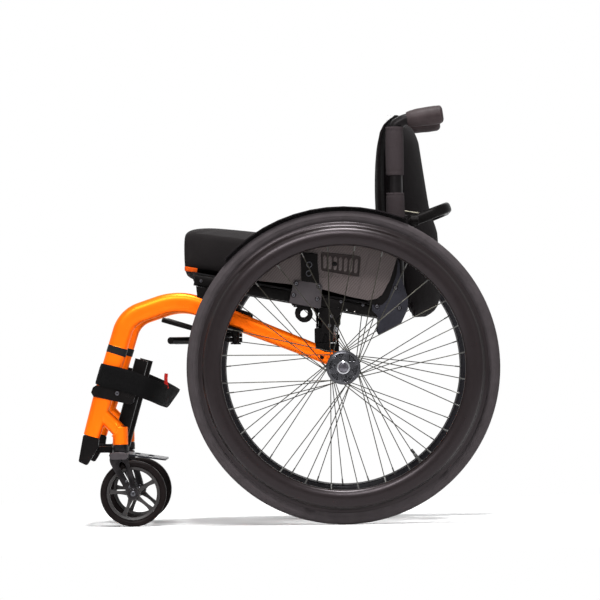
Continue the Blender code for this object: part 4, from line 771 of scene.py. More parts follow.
def castorFork():
    # a stem collar, a crown over the tyre, and on each side two bars that meet at the axle's boss,
    # with bolts; outlines are measured from the axle
    ax, y0, az = castorAxle
    found = [spun(
        [
            (0.0068, 0), (0.0146, 0.0006), (0.0152, 0.0016), (0.0152, 0.0118), (0.0142, 0.0152),
            (0.0068, 0.0153),
        ],
        (castor["stem"], y0, 0.1397), (0, 0, 1), 48, ring=False,
    )]
    crown = smoothLoop(
        [
            (-0.0432, 0.0785), (-0.0436, 0.0668), (-0.0400, 0.0642), (-0.0120, 0.0642), (-0.0085, 0.0668),
            (-0.0095, 0.0785),
        ],
        2,
    ) + (ax, az)
    # the crown takes the paler satin finish: partly its own satin, partly painted highlight for its lit top
    found.append(slabOf(crown, y0 - 0.0215, y0 + 0.0215, 0.0016, look=3))
    front = smoothLoop(
        [
            (-0.0436, 0.0700), (-0.0432, 0.0600), (-0.0385, 0.0500), (-0.0085, -0.0040), (0.0010, 0.0020),
            (-0.0245, 0.0500), (-0.0262, 0.0590), (-0.0200, 0.0625), (-0.0200, 0.0700),
        ],
        2,
    ) + (ax, az)
    rear = smoothLoop(
        [
            (-0.0240, 0.0700), (-0.0220, 0.0615), (-0.0150, 0.0600), (-0.0148, 0.0520), (-0.0030, 0.0050),
            (0.0060, -0.0030), (0.0088, 0.0070), (-0.0078, 0.0620), (-0.0088, 0.0700),
        ],
        2,
    ) + (ax, az)
    for way in (-1, 1):
        low, high = sorted((y0 + way * 0.0176, y0 + way * 0.0212))
        found += [slabOf(front, low, high, 0.0009), slabOf(rear, low, high, 0.0009)]
        found.append(spun(
            [(0.0040, 0.0150), (0.0086, 0.0150), (0.0098, 0.0160), (0.0098, 0.0208), (0.0088, 0.0218)],
            (ax, y0, az), (0, way, 0), 40, ring=False,
        ))
        for dx, dz, r in ((0.0, 0.0, 0.0048), (-0.0068, 0.0128, 0.0022), (-0.0125, 0.0235, 0.0020)):
            found += screwHead(
                (ax + dx, y0 + way * (0.0216 if r > 0.004 else 0.0211), az + dz), (0, way, 0), r, 0.0014,
                look=1,
            )
    bothSides(
        "castorFork", found,
        [finish["forkMetal"], finish["darkBolt"], finish["bandBlack"], finish["plateSatin"]], "fork",
        ["castor_fork"], 35,
    )


frameTube = dict(
    y=-0.195, foot=(-0.478, 0.172), knee=(-0.408, 0.396), crest=(-0.308, 0.4295), end=(-0.00825, 0.3075),
    kneeBend=0.055, crestBend=0.110, width=0.030,
)


def frameLine():
    # the bent tube's middle line, from the foot over knee and crest to the axle end
    spots = [frameTube[k] for k in ("foot", "knee", "crest", "end")]
    corners = [(x + axleX, frameTube["y"], z) for x, z in spots]
    return finer(pathThrough(corners, (frameTube["kneeBend"], frameTube["crestBend"])), 0.008)


def frameTall(share):
    # half the oval tube's height, read from a table along its length
    return np.interp(share, (0, 0.12, 0.55, 0.8, 1), (0.0155, 0.0187, 0.0187, 0.0160, 0.0148))


def sideFrame():
    # the bent tube, fuller at the knee than at its ends, with the castor arm and head, a weld
    # bead where each meets, the plain band on the front tube, and the drilled hole drawn as a
    # flat dark disc on each face: painted shade for the hole's inside
    line = frameLine()
    tall = frameTall(shares(line))
    half, y = frameTube["width"] / 2, frameTube["y"]
    found = [tubeAlong(line, (0, 1, 0), half, tall, 44, 2.6)]
    stemX = castor["stem"]
    root, armEnd = (-0.4685 + axleX, y, 0.2265), (stemX, y, 0.1795)
    arm = finer(np.array([root, armEnd]), 0.004)
    found.append(tubeAlong(arm, (0, 1, 0), 0.0135, 0.0138, 32, 2.3))
    head = [(0.0136, 0), (0.0145, 0.0009), (0.0145, 0.0328), (0.0134, 0.0340)]
    found.append(spun(head, (stemX, y, 0.1552), (0, 0, 1), 48, ring=False))
    cap = [(0.0118, 0.0340), (0.0112, 0.0356), (0.0060, 0.0364)]
    found.append(spun(cap, (stemX, y, 0.1552), (0, 0, 1), 40, ring=False, look=1))
    t = np.linspace(0, 2 * np.pi, 73)[:-1]
    bead = np.stack([np.full(72, stemX - 0.0095), y + 0.0135 * np.cos(t), 0.1868 + 0.0150 * np.sin(t)], 1)
    bead[:, 0] += 0.0052 * np.cos(2 * t)
    ring = np.concatenate([bead, bead[:1]])
    found.append(tubeAlong(
        ring, unit((1.0, 0.0, 0.25)), 0.0017 + 0.0003 * np.cos(36 * np.linspace(0, 2 * np.pi, 73)), 0.0014,
        8, caps=(False, False),
    ))
    band = finer(np.array([(-0.4295 + axleX, y, 0.3262), (-0.4250 + axleX, y, 0.3400)]), 0.002)
    bandTall = np.interp(band[:, 2], line[: len(line) // 2, 2], tall[: len(line) // 2]) + 0.0005
    found.append(tubeAlong(band, (0, 1, 0), half + 0.0005, bandTall, 44, 2.6, look=2))
    # each hole is a flat dark disc on the tube's face, painted shade for the hole's inside
    for way in (-1, 1):
        spot = (-0.040 + axleX, y + way * (half - 0.0001), 0.3150)
        found.append(spun([(0.0042, 0.00005), (0.0002, 0.00002)], spot, (0, way, 0), 24, ring=False, look=3))
    looks = [finish["orangePaint"], finish["plugRubber"], finish["bandBlack"], finish["plugRubber"]]
    bothSides("sideFrame", found, looks, "frame", ["side_frame"], 40)


rearTyre()
rearRim()
wheelHub()
handRim()
castorTyre()
castorWheel()
castorFork()
sideFrame()
print("wheels and frames made")


def finerCopy(node, look):
    # a CAD node's own shape with its loose triangles joined, so that its round faces shade smooth
    mesh = nodes[node].data.copy()
    mesh.name = node + "Finished"
    if mesh.has_custom_normals:
        form = bpy.data.objects.new("form", mesh)
        bpy.context.scene.collection.objects.link(form)
        bpy.context.view_layer.objects.active = form
        bpy.ops.mesh.customdata_custom_splitnormals_clear()
        bpy.data.objects.remove(form)
    mesh.materials.clear()
    mesh.materials.append(finish[look])
    mesh.polygons.foreach_set("material_index", np.zeros(len(mesh.polygons), np.int32))
    piece = placed(node + "Finished", mesh, 32.0, 1e-5)
    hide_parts(node)
    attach(piece, nodes[node]["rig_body"])
    return piece


copied = dict(
    axle_sleeve=("blackAnodised", "black_anodised"),
    axle=("steel", "steel"),
    axle_button=("darkCap", "silver_button"),
    seat_rail=("blackAnodised", "black_anodised"),
    rail_saddle=("blackAnodised", "black_anodised"),
    cross_arm=("blackAnodised", "black_anodised"),
    lower_pivot=("blackAnodised", "black_anodised"),
    upper_pivot=("blackAnodised", "black_anodised"),
    back_plate=("greyAnodised", "grey_anodised"),
    side_guard=("carbonTwill", "carbon_weave"),
    fender=("fenderGloss", "fender_black"),
    guard_receiver=("blackAnodised", "black_anodised"),
    footrest_post=("blackAnodised", "black_anodised"),
    lock_clamp=("blackAnodised", "black_anodised"),
    lock_lever=("blackAnodised", "black_anodised"),
    lock_arm=("blackAnodised", "shoe_black"),
)
for stem, (look, slot) in copied.items():
    for side in sides:
        finerCopy(f"{stem}_{side}", look)
finerCopy("brace_bolt", "steel")
finerCopy("footplate", "greyAnodised")


def smoothTable(at, places, values, spread=0.012):
    # straight-line reading of a table, averaged over a short window so that its corners soften
    offsets = np.linspace(-spread, spread, 13)
    return np.interp(np.asarray(at)[..., None] + offsets, places, values).mean(-1)


post = dict(x=0.1032 + axleX, y=-0.195, radius=0.0136, foot=0.398, handle=0.011)
grip = dict(front=(0.1290 + axleX, 0.7627), rear=(0.1955 + axleX, 0.7718), ridges=(-0.42, -0.14, 0.14, 0.42))
bar = dict(
    hinge=(0.131 + axleX, -0.160, 0.572), reach=0.0765, span=0.310, rise=21, drop=-0.0036, tall=0.0104,
    thick=0.0064, foot=0.5632,
)


def backPost():
    # upright tube with a rounded foot, then the thinner handle tube bent out of its top
    y = post["y"]
    r = post["radius"]
    rise = [
        (r - 0.0016, post["foot"]), (r - 0.0004, 0.3986), (r, 0.3998), (r, 0.7445), (r - 0.0010, 0.7465),
        (0.0112, 0.7472),
    ]
    upright = spun(rise, (post["x"], y, 0), (0, 0, 1), 56, ring=False)
    slope = (grip["rear"][1] - grip["front"][1]) / (grip["rear"][0] - grip["front"][0])
    corners = [(post["x"], y, 0.735), (post["x"], y, 0.751)]
    corners += [(
        x, y, grip["front"][1] + slope * (x - grip["front"][0]),
    ) for x in (grip["front"][0] - 0.0055, grip["rear"][0] - 0.007)]
    line = finer(pathThrough(corners, (0.0135, 0.030)), 0.003)
    handle = tubeAlong(line, (0, 1, 0), post["handle"], post["handle"], 36)
    hx, hy, hz = bar["hinge"]
    socket = (post["x"], y + 0.0132, 0.4417)
    bolt = screwHead(socket, (0, 1, 0), 0.0066, 0.0032, look=1, socket=False)
    for side, sign in sides.items():
        mine = [upright, handle, *bolt]
        if sign > 0:
            mine = mirrored(mine)
            rest = hy + bar["span"]
            top = bar["foot"] - 0.0003
            outline = [
                (0.1000 + axleX, -y - 0.006), (0.1262 + axleX, -y - 0.006), (0.1262 + axleX, rest + 0.008),
                (0.1520 + axleX, rest + 0.008),
            ]
            outline += [(0.1520 + axleX, rest - 0.008), (0.1130 + axleX, rest - 0.008)]
            mine.append(slabOf(outline, top - 0.0070, top, 0.0010, "xy"))
            outline = [
                (0.1100 + axleX, rest - 0.006), (0.1240 + axleX, rest - 0.006), (0.1240 + axleX, -y - 0.008),
                (0.1100 + axleX, -y - 0.008),
            ]
            mine.append(slabOf(outline, top - 0.003, top + 0.006, 0.0010, "xy"))
        else:
            outline = [
                (0.1040 + axleX, y + 0.006), (0.1262 + axleX, y + 0.008), (0.1262 + axleX, hy + 0.007),
                (0.1110 + axleX, hy + 0.007),
            ]
            mine.append(slabOf(outline, hz - 0.0095, hz + 0.0095, 0.0012, "xy"))
            mine.append(spun(
                [(0.0045, 0), (0.0045, 0.0205), (0.0038, 0.0212)], (hx - 0.007, hy, hz), (1, 0, 0), 28,
                ring=False, look=1,
            ))
        piece = pieceFrom(f"backPost_{side}", mine, [finish["postBlack"], finish["darkBolt"]])
        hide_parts(f"back_post_{side}")
        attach(piece, f"back_{side}")


def pushGrip():
    # a rubber sleeve: its radius follows a table along its length, thinner at the front, full
    # towards the rear; four fine ridges run lengthwise on top, and a lip hangs under its rear half
    a, b = (np.array([grip[k][0], post["y"], grip[k][1]]) for k in ("front", "rear"))
    long = np.linalg.norm(b - a)
    axis = unit(b - a)
    up = unit(np.cross(axis, (0, 1, 0)) * -1)
    up = up if up[2] > 0 else -up
    out = np.cross(up, axis)
    s = np.concatenate([
        [-0.002, -0.002], np.linspace(-0.0015, long - 0.004, 90),
        long - 0.004 + 0.004 * np.sin(np.linspace(0.1, np.pi / 2, 10)), [long],
    ])
    share = s / long
    r = smoothTable(
        share, (-0.03, 0.00, 0.10, 0.30, 0.60, 0.90, 0.96, 1.0),
        (0.0128, 0.0140, 0.0156, 0.0168, 0.0172, 0.0170, 0.0164, 0.0140), 0.03,
    )
    end = np.clip((long - s) / 0.0045, 0.0, 1)
    r = r - 0.0050 * (1 - np.sqrt(1 - (1 - end) ** 2))
    r[0], r[-1] = 0.0113, 0.0060
    t = 2 * np.pi * np.arange(96) / 96
    away = np.minimum(t, 2 * np.pi - t)
    along = (np.clip((share - 0.16) / 0.06, 0, 1) * np.clip((0.86 - share) / 0.06, 0, 1))[:, None]
    ridges = sum(np.exp(-(((t - c + np.pi) % (2 * np.pi) - np.pi) / 0.055) ** 2) for c in grip["ridges"])
    lip = np.exp(-(((away - np.pi) / 0.55) ** 4)) * np.clip((share - 0.40) / 0.25, 0, 1)[:, None]
    lip = lip * np.clip((0.93 - share) / 0.03, 0, 1)[:, None]
    radius = r[:, None] + 0.00045 * ridges * along + 0.0010 * lip
    ringOut = np.cos(t)[:, None] * up + np.sin(t)[:, None] * out
    points = a + radius[..., None] * ringOut[None] + s[:, None, None] * axis
    bothSides(
        "pushGrip", [patch(points, caps=(False, True))], [finish["gripRubber"]], "back", ["push_grip"],
        45,
    )


def stabiliserBar():
    # an oval tube bent into a U, its left end a knuckle on the hinge pin, its right end a foot
    hinge = np.array(bar["hinge"])
    rise = math.radians(bar["rise"])
    out = np.array([math.cos(rise), 0, math.sin(rise)])
    across = np.array([-math.sin(rise), 0, math.cos(rise)])
    span = np.array([0, bar["span"], 0])
    drop = np.array([0, 0, bar["drop"]])
    corners = [hinge + drop - out * 0.012, hinge + drop + out * bar["reach"]]
    corners += [corners[1] + span, corners[0] + span]
    line = finer(pathThrough(corners, (0.032, 0.032), 20), 0.006)
    found = [tubeAlong(line, across, bar["tall"], bar["thick"], 36, 2.6)]
    found.append(spun(
        [
            (0.0053, 0.0003), (0.0092, 0.0003), (0.0100, 0.0010), (0.0100, 0.0155), (0.0092, 0.0165),
            (0.0008, 0.0165),
        ],
        hinge, (1, 0, 0), 40, ring=False, caps=(False, True),
    ))
    rest = hinge[1] + bar["span"]
    x0, x1 = hinge[0] + 0.0025, hinge[0] + 0.0190
    outline = [(x0, rest - 0.008), (x1, rest - 0.008), (x1, rest + 0.008), (x0, rest + 0.008)]
    found.append(slabOf(outline, bar["foot"], hinge[2] + 0.003, 0.0010, "xy"))
    piece = pieceFrom("stabiliserBarTube", found, [finish["blackAnodised"]])
    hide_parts("stabiliser_bar")
    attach(piece, "bar")


sleeve = dict(bands=((0.5665, 0.6235), (0.6565, 0.7485)), radius=0.01655, swell=0.0006, hem=0.00055)


def postSleeves():
    # a stitched sleeve round the post: the radius swells between its ends and puckers at the hems
    for side, sign in sides.items():
        found = []
        for low, high in sleeve["bands"]:
            s = np.concatenate([[0, 0], np.linspace(0.0008, high - low - 0.0008, 48), [high - low] * 2])
            share = np.clip(s / (high - low), 0, 1)
            t = 2 * np.pi * np.arange(64) / 64
            r = sleeve["radius"] + sleeve["swell"] * np.sin(np.pi * share)[:, None] ** 0.5 * np.ones(64)
            hem = np.exp(-(((share - 0.085) / 0.022) ** 2)) + np.exp(-(((share - 0.915) / 0.022) ** 2))
            r = r - sleeve["hem"] * hem[:, None] * (0.75 + 0.25 * np.cos(16 * t))
            r = r + 0.0006 * np.exp(-(((t - np.pi * 0.98) / 0.10) ** 2))
            r = r - 0.0004 * np.exp(-(((t - np.pi * 0.92) / 0.03) ** 2))
            r[0], r[-1], r[1], r[-2] = 0.0137, 0.0137, 0.0160, 0.0160
            ringOut = np.stack([np.cos(t), np.sin(t), 0 * t], -1)
            points = r[..., None] * ringOut[None]
            points[..., 2] += (low + s)[:, None]
            points = points + (post["x"], -sign * post["y"], 0)
            found.append(patch(points))
        piece = pieceFrom(f"postSleeve_{side}", found, [finish["sleeveCloth"]], 50)
        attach(piece, f"back_{side}")


backPost()
pushGrip()
stabiliserBar()
postSleeves()
print("posts, grips and bar made")


blowing = dict(frames=20, quality=6, mass=0.25, stretch=12, bend=0.4)


def swollen(piece, voxel, pressure, cap, held=None, floor=None):
    # cloth under air pressure: the form is remeshed, blown up over some frames with its welts
    # held, and no point moves further than the cap or below the floor; then one subdivision
    scene = bpy.context.scene

    def settled():
        bpy.context.view_layer.update()
        return bpy.data.meshes.new_from_object(piece.evaluated_get(bpy.context.evaluated_depsgraph_get()))

    look = list(piece.data.materials)
    grid = piece.modifiers.new("grid", "REMESH")
    grid.mode, grid.voxel_size, grid.use_smooth_shade = "VOXEL", voxel, True
    mesh = settled()
    piece.modifiers.clear()
    piece.data = mesh
    before = np.zeros(len(mesh.vertices) * 3)
    mesh.vertices.foreach_get("co", before)
    before = before.reshape(-1, 3)
    pins = piece.vertex_groups.new(name="welts")
    if held is not None:
        pins.add(np.flatnonzero(held(before)).tolist(), 1.0, "REPLACE")
    air = piece.modifiers.new("air", "CLOTH")
    air.settings.quality, air.settings.mass = blowing["quality"], blowing["mass"]
    air.settings.tension_stiffness = air.settings.compression_stiffness = blowing["stretch"]
    air.settings.bending_stiffness = blowing["bend"]
    air.settings.use_pressure, air.settings.uniform_pressure_force = True, pressure
    air.settings.effector_weights.gravity = 0
    air.settings.vertex_group_mass = "welts"
    air.collision_settings.use_collision = False
    for number in range(1, blowing["frames"] + 1):
        scene.frame_set(number)
    blown = settled()
    after = np.zeros(len(blown.vertices) * 3)
    blown.vertices.foreach_get("co", after)
    move = after.reshape(-1, 3) - before
    far = np.linalg.norm(move, axis=1, keepdims=True)
    after = before + move * np.minimum(1, cap / np.maximum(far, 1e-9))
    if floor is not None:
        after[:, 2] = np.maximum(after[:, 2], floor(after))
    piece.modifiers.clear()
    scene.frame_set(1)
    mesh.vertices.foreach_set("co", after.ravel())
    piece.vertex_groups.clear()
    mesh.update()
    halved = piece.modifiers.new("halved", "SUBSURF")
    halved.levels = halved.render_levels = 1
    piece.data = settled()
    piece.modifiers.clear()
    piece.data.materials.clear()
    for material in look:
        piece.data.materials.append(material)
    piece.data.polygons.foreach_set("use_smooth", np.ones(len(piece.data.polygons), bool))
    print("swollen", piece.name, len(piece.data.polygons), round(float(far.max()), 4))


seat = dict(
    front=-0.298, rear=0.064, half=0.172, top=0.5615, slope=0.14, crown=0.006, railX=-0.279, railZ=0.465,
    fall=0.1905, sag=0.014,
)


def railTop(x):
    # the rail falls to the rear in a straight line; x is measured from the rear axle
    return seat["railZ"] - seat["fall"] * (x - seat["railX"]) + 0.0112


def sagAt(y):
    # how far the sling hangs below the rails: a parabola across
    return seat["sag"] * np.maximum(0, 1 - (np.abs(y) / 0.177) ** 2)


def roundedEnd(away, radius):
    # how far a face lies inside its line near an end that a circle of the radius rounds
    left = np.clip(radius - away, 0, radius)
    return radius - np.sqrt(np.clip(radius**2 - left**2, 0, None))


def seatCushion():
    # stations from front to rear; the top is rounded into the front by a wide arc and the
    # underside by a tight one, the sides are a boxy oval, and the top is crowned by a parabola
    long = seat["rear"] - seat["front"]
    t = np.linspace(0.0, np.pi / 2, 14)
    d = np.concatenate([
        0.021 * (1 - np.cos(t)), np.linspace(0.024, long - 0.020, 64), long - 0.017 * (1 - np.cos(t[::-1])),
    ])
    x = seat["front"] + d
    over = roundedEnd(d, 0.0205) + roundedEnd(long - d, 0.016)
    under = roundedEnd(d, 0.0065) + roundedEnd(long - d, 0.008)
    wide = seat["half"] - 0.0007 - roundedEnd(d, 0.009) - roundedEnd(long - d, 0.009)
    c, s = ovalRing(148, 8.0)
    y = wide[:, None] * c
    crown = seat["crown"] * (1 - np.abs(c) ** 2.4) * np.sin(np.pi * np.clip(d / long, 0.06, 0.94))[:, None]
    top = (seat["top"] - seat["slope"] * (x + 0.279) - over)[:, None] + crown
    low = cushionFloor(x)[:, None] - sagAt(y) + under[:, None]
    z = (top + low) / 2 + (top - low) / 2 * s
    points = np.stack([np.repeat(x[:, None] + axleX, len(c), 1), y, z], -1)
    return patch(points, caps=(True, True))


def cushionFloor(x):
    # the cushion's underside over the rails, on top of the sling
    return railTop(x) + 0.0038


def cushionPieces():
    piece = pieceFrom("seatCushion", [seatCushion()], [finish["cushionCloth"]], 80)
    # held along two welts, one round the top edge and one round the bottom, and above the sling
    rimTop = lambda p: seat["top"] - seat["slope"] * (p[:, 0] - axleX + 0.279) - 0.012
    rimLow = lambda p: cushionFloor(p[:, 0] - axleX) + 0.012
    held = lambda p: (np.abs(p[:, 2] - rimTop(p)) < 0.0040) | (np.abs(p[:, 2] - rimLow(p)) < 0.0040)
    swollen(
        piece, 0.0052, 4.0, 0.0055, held, lambda p: cushionFloor(p[:, 0] - axleX) - sagAt(p[:, 1]) - 0.0004,
    )
    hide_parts("cushion")
    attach(piece, "rail_left")
    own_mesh(piece)


def seatSling():
    # a sheet between the rails, sagging by a parabola, flat over each rail, its front hem rolled
    x = np.concatenate([np.linspace(-0.2840, -0.262, 12), np.linspace(-0.2575, 0.058, 70)])
    thick = 0.0030 - 0.0012 * np.clip((-0.2820 - x) / 0.0020, 0, 1) ** 2
    y = np.concatenate([[-0.199, -0.1985], np.linspace(-0.197, 0.197, 81), [0.1985, 0.199]])
    low = railTop(x)[:, None] + 0.0003 - sagAt(y)
    high = low + thick[:, None]
    lower = np.stack(np.broadcast_arrays(x[:, None] + axleX, y, low), -1)
    upper = np.stack(np.broadcast_arrays(x[:, None] + axleX, y, high), -1)[:, ::-1]
    points = np.concatenate([lower, upper], 1)
    piece = pieceFrom("seatSling", [patch(points, caps=(True, True))], [finish["slingCloth"]], 50)
    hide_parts("seat_sling")
    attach(piece, "rail_left")
    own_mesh(piece)


backTables = dict(
    rear=(
        (0.383, 0.392, 0.440, 0.552, 0.596, 0.678, 0.727, 0.756, 0.7745),
        (0.164, 0.179, 0.188, 0.182, 0.167, 0.155, 0.148, 0.135, 0.113),
    ),
    front=(
        (0.386, 0.400, 0.520, 0.545, 0.5928, 0.6492, 0.6868, 0.7244, 0.7432, 0.7545, 0.7620, 0.7670, 0.7745),
        (0.126, 0.118, 0.096, 0.0680, 0.0645, 0.0635, 0.0640, 0.0670, 0.0712, 0.0770, 0.0850, 0.0930, 0.1010),
    ),
    reach=0.166,
)


def shellSurface(z, y):
    # the rear shell's x: the back plane plus a swell that falls off towards the posts
    rear = smoothTable(z, *backTables["rear"], 0.008)
    plane = np.interp(z, (0.386, 0.400, 0.520, 0.545), (0.132, 0.124, 0.102, 0.0852))
    share = np.clip(np.abs(y) / backTables["reach"], 0, 1)
    return plane + np.maximum(rear - plane, 0.004) * (1 - share**1.6)


def backShell():
    # a pouch behind the posts, closed in front by a nearly flat wall
    z = np.concatenate([
        0.3862 + 0.026 * (1 - np.cos(np.linspace(0.0, np.pi / 2, 14))), np.linspace(0.416, 0.758, 76),
        0.7745 - 0.013 * (1 - np.cos(np.linspace(np.pi / 2, 0.0, 9))),
    ])
    end = np.clip(np.minimum((z - 0.3858) / 0.026, (0.7750 - z) / 0.014), 0.01, 1)
    pinch = np.sqrt(1 - (1 - end) ** 2)
    wide = smoothTable(z, (0.505, 0.535, 0.735, 0.7745), (0.160, 0.165, 0.165, 0.160))
    u = np.linspace(-1, 1, 61)
    y = wide[:, None] * np.sin(np.pi / 2 * u)
    front = smoothTable(z, *backTables["front"], 0.008)[:, None] + 0.014 * (1 - u**2) + 0.004
    front = np.minimum(front, shellSurface(z[:, None], y) - 0.002)
    rear = shellSurface(z[:, None], y)
    middle = (front + rear) / 2
    front, rear = middle + (front - middle) * pinch[:, None], middle + (rear - middle) * pinch[:, None]
    zz = np.broadcast_to(z[:, None], y.shape)
    ahead = np.stack([front + axleX, y, zz], -1)
    behind = np.stack([rear + axleX, y, zz], -1)[:, ::-1]
    return patch(np.concatenate([ahead, behind[:, 1:-1]], 1), caps=(True, True))


def backPad():
    # the padded front panel: a pillow's section, thick in the middle and rounded at its edges
    z = np.concatenate([
        0.500 + 0.012 * (1 - np.cos(np.linspace(0.05, np.pi / 2, 8))), np.linspace(0.516, 0.760, 64),
        0.7745 - 0.0135 * (1 - np.cos(np.linspace(np.pi / 2, 0.05, 9))),
    ])
    wide = smoothTable(z, (0.500, 0.528, 0.740, 0.7745), (0.178, 0.206, 0.206, 0.182), 0.006)
    thick = smoothTable(z, (0.500, 0.520, 0.735, 0.7745), (0.0075, 0.0078, 0.0072, 0.0050), 0.006)
    end = np.clip(np.minimum(z - 0.4995, 0.7750 - z) / 0.010, 0.01, 1)
    thick = thick * np.sqrt(1 - (1 - end) ** 2)
    c, s = ovalRing(120, 3.2)
    share = np.abs(c)
    middle = smoothTable(z, *backTables["front"], 0.008)[:, None] + 0.0076 + 0.014 * (1 - share**2)
    x = middle + thick[:, None] * s
    points = np.stack([x + axleX, wide[:, None] * c, np.broadcast_to(z[:, None], x.shape)], -1)
    return patch(points, caps=(True, True))


def backCloth():
    shell = pieceFrom("backShell", [backShell()], [finish["backCloth"]], 70)
    swollen(shell, 0.0056, 3.0, 0.0030)
    pad = pieceFrom("backPad", [backPad()], [finish["backCloth"]], 70)
    seam = lambda p: (np.abs(p[:, 1]) > 0.196) | (p[:, 2] > 0.765) | (p[:, 2] < 0.508)
    swollen(pad, 0.0050, 4.0, 0.0045, seam)
    y = np.linspace(-0.158, 0.158, 70)
    z = 0.5965 - 0.012 * (1 - (np.abs(y) / 0.166) ** 2)
    line = np.stack([shellSurface(z, y) + axleX + 0.0026, y, z], -1)
    piping = pieceFrom(
        "backPiping", [tubeAlong(line, (0, 0, 1), 0.0011, 0.0011, 10)], [finish["paleTape"]], 60,
    )
    for piece, anchor, keep in ((shell, -0.146, 0.158), (pad, -0.195, 0.351), (piping, -0.146, 0.158)):
        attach(piece, "back_left")
        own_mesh(piece)
    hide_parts("back_upholstery")


# the strap's line from its outer front round the left post to the middle: for each station the
# upper edge's and the lower edge's x and z, and the distance from the chair's middle
strap = dict(thick=0.004, upperDrop=0.0010, lowerDrop=0.0026)
strapLine = np.array([
    [(-0.4563, 0.3105), (-0.4683, 0.2730), (0.1960, 0)], [(-0.4540, 0.3100), (-0.4660, 0.2727), (0.2085, 0)],
    [(-0.4440, 0.3075), (-0.4560, 0.2690), (0.2152, 0)], [(-0.4140, 0.3000), (-0.4265, 0.2620), (0.2160, 0)],
    [(-0.3880, 0.2915), (-0.4020, 0.2535), (0.2160, 0)], [(-0.3660, 0.2820), (-0.3820, 0.2455), (0.2140, 0)],
    [(-0.3470, 0.2735), (-0.3650, 0.2385), (0.1970, 0)], [(-0.3320, 0.2660), (-0.3525, 0.2320), (0.1600, 0)],
    [(-0.3220, 0.2610), (-0.3445, 0.2280), (0.1100, 0)], [(-0.3165, 0.2585), (-0.3410, 0.2260), (0.0500, 0)],
    [(-0.3150, 0.2580), (-0.3400, 0.2255), (0, 0)],
])


def curveThrough(points, count):
    # a smooth line through points: each stretch is a cubic of the four points round it
    points = np.concatenate([2 * points[:1] - points[1:2], points, 2 * points[-1:] - points[-2:-1]])
    t = np.linspace(0, len(points) - 3 - 1e-6, count)
    i, f = t.astype(int), (t % 1)[:, None]
    a, b, c, d = points[i], points[i + 1], points[i + 2], points[i + 3]
    return 0.5 * (2 * b + (c - a) * f + (2 * a - 5 * b + 4 * c - d) * f**2 + (3 * b - a - 3 * c + d) * f**3)


def calfStrap():
    # webbing carried round both posts: its upper and lower edges are two lines, the band between
    upper, lower, away = strapLine[:, 0], strapLine[:, 1], strapLine[:, 2, 0]
    top = np.stack([upper[:, 0] + axleX, -away, upper[:, 1] - strap["upperDrop"]], 1)
    low = np.stack([lower[:, 0] + axleX, -away, lower[:, 1] - strap["lowerDrop"]], 1)
    top = curveThrough(np.concatenate([top, top[-2::-1] * (1, -1, 1)]), 181)
    low = curveThrough(np.concatenate([low, low[-2::-1] * (1, -1, 1)]), 181)
    v = np.linspace(0, 1, 13)
    face = top[:, None] + (low - top)[:, None] * v[:, None]
    along = np.gradient(face, axis=0)
    down = (low - top)[:, None] * np.ones((1, 13, 1))
    out = unit(np.cross(along, down))
    half = strap["thick"] / 2 * np.sqrt(np.clip(1 - (np.abs(2 * v - 1) ** 8), 0.15, 1))[:, None]
    front, back = face + out * half, face - out * half
    points = np.concatenate([front, back[:, ::-1]], 1)
    piece = pieceFrom("calfStrapBand", [patch(points, caps=(True, True))], [finish["strapWeb"]], 50)
    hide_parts("calf_strap")
    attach(piece, "frame_left")
    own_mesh(piece)


cushionPieces()
seatSling()
backCloth()
calfStrap()
print("sewn goods made")


def trimPair(name, patches, looks, like):
    # a small part and its mirror image, each riding with the CAD node it is fixed to
    for side, sign in sides.items():
        piece = pieceFrom(f"{name}_{side}", patches if sign < 0 else mirrored(patches), looks)
        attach(piece, nodes[f"{like}_{side}"]["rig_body"])


def screwsAt(spots, y, radius=0.0030, height=0.0014, look=0):
    found = []
    for x, z in spots:
        found += screwHead((x, y, z), (0, -1, 0), radius * 1.35, height * 0.35, look=look + 1, socket=False)
        found += screwHead((x, y, z), (0, -1, 0), radius, height, look=look)
    return found


receiver = dict(
    face=((0.0130, 0.4614), (0.0670, 0.4534), (0.0635, 0.4059), (0.0027, 0.4182)),
    screws=((0.0178, 0.4550), (0.0598, 0.4485), (0.0122, 0.4330), (0.0568, 0.4248)),
)
backScrews = ((0.2048, 0.4434), (0.1692, 0.4092), (0.2112, 0.4055))
railScrews = ((-0.1625, 0.4623), (0.1014, 0.4192), (0.1429, 0.4123))


def receiverFace():
    # a satin plate over the cheek, drawn slightly smaller than the listed face, with four socket screws, a
    # dark block and two thin rings
    outline = np.array(receiver["face"])
    middle = outline.mean(0)
    found = [slabOf(softCorners(middle + (outline - middle) * 0.985, 0.0042), -0.2240, -0.2229, 0.0004)]
    found += screwsAt(receiver["screws"], -0.2239, 0.0034, 0.0017, look=1)
    block = [(0.0272, 0.5128), (0.0590, 0.5098), (0.0570, 0.4560), (0.0270, 0.4600)]
    found.append(slabOf(softCorners(block, 0.0016), -0.2250, -0.2225, 0.0006, look=3))
    turn = np.linspace(0, 2 * np.pi, 41)
    for x, z in ((0.0424, 0.4900), (0.0414, 0.4735)):
        ring = np.stack([x + 0.0050 * np.cos(turn), np.full(41, -0.2249), z + 0.0050 * np.sin(turn)], 1)
        found.append(tubeAlong(ring, (0, 1, 0), 0.0011, 0.0010, 12, caps=(False, False), look=1))
    trimPair(
        "receiverFace", found,
        [finish["plateSatin"], finish["darkBolt"], finish["plugRubber"], finish["blackAnodised"]],
        "guard_receiver",
    )


def plateScrews():
    trimPair(
        "backPlateScrews", screwsAt(backScrews, -0.2169, 0.0034, 0.0016),
        [finish["darkBolt"], finish["plugRubber"]], "back_plate",
    )
    trimPair(
        "railScrews", screwsAt(railScrews, -0.1988, 0.0030, 0.0014),
        [finish["darkBolt"], finish["plugRubber"]], "seat_rail",
    )
    trimPair(
        "footrestScrew", screwsAt([(-0.3237, 0.2523)], -0.2144, 0.0040, 0.0016),
        [finish["darkBolt"], finish["plugRubber"]], "footrest_post",
    )


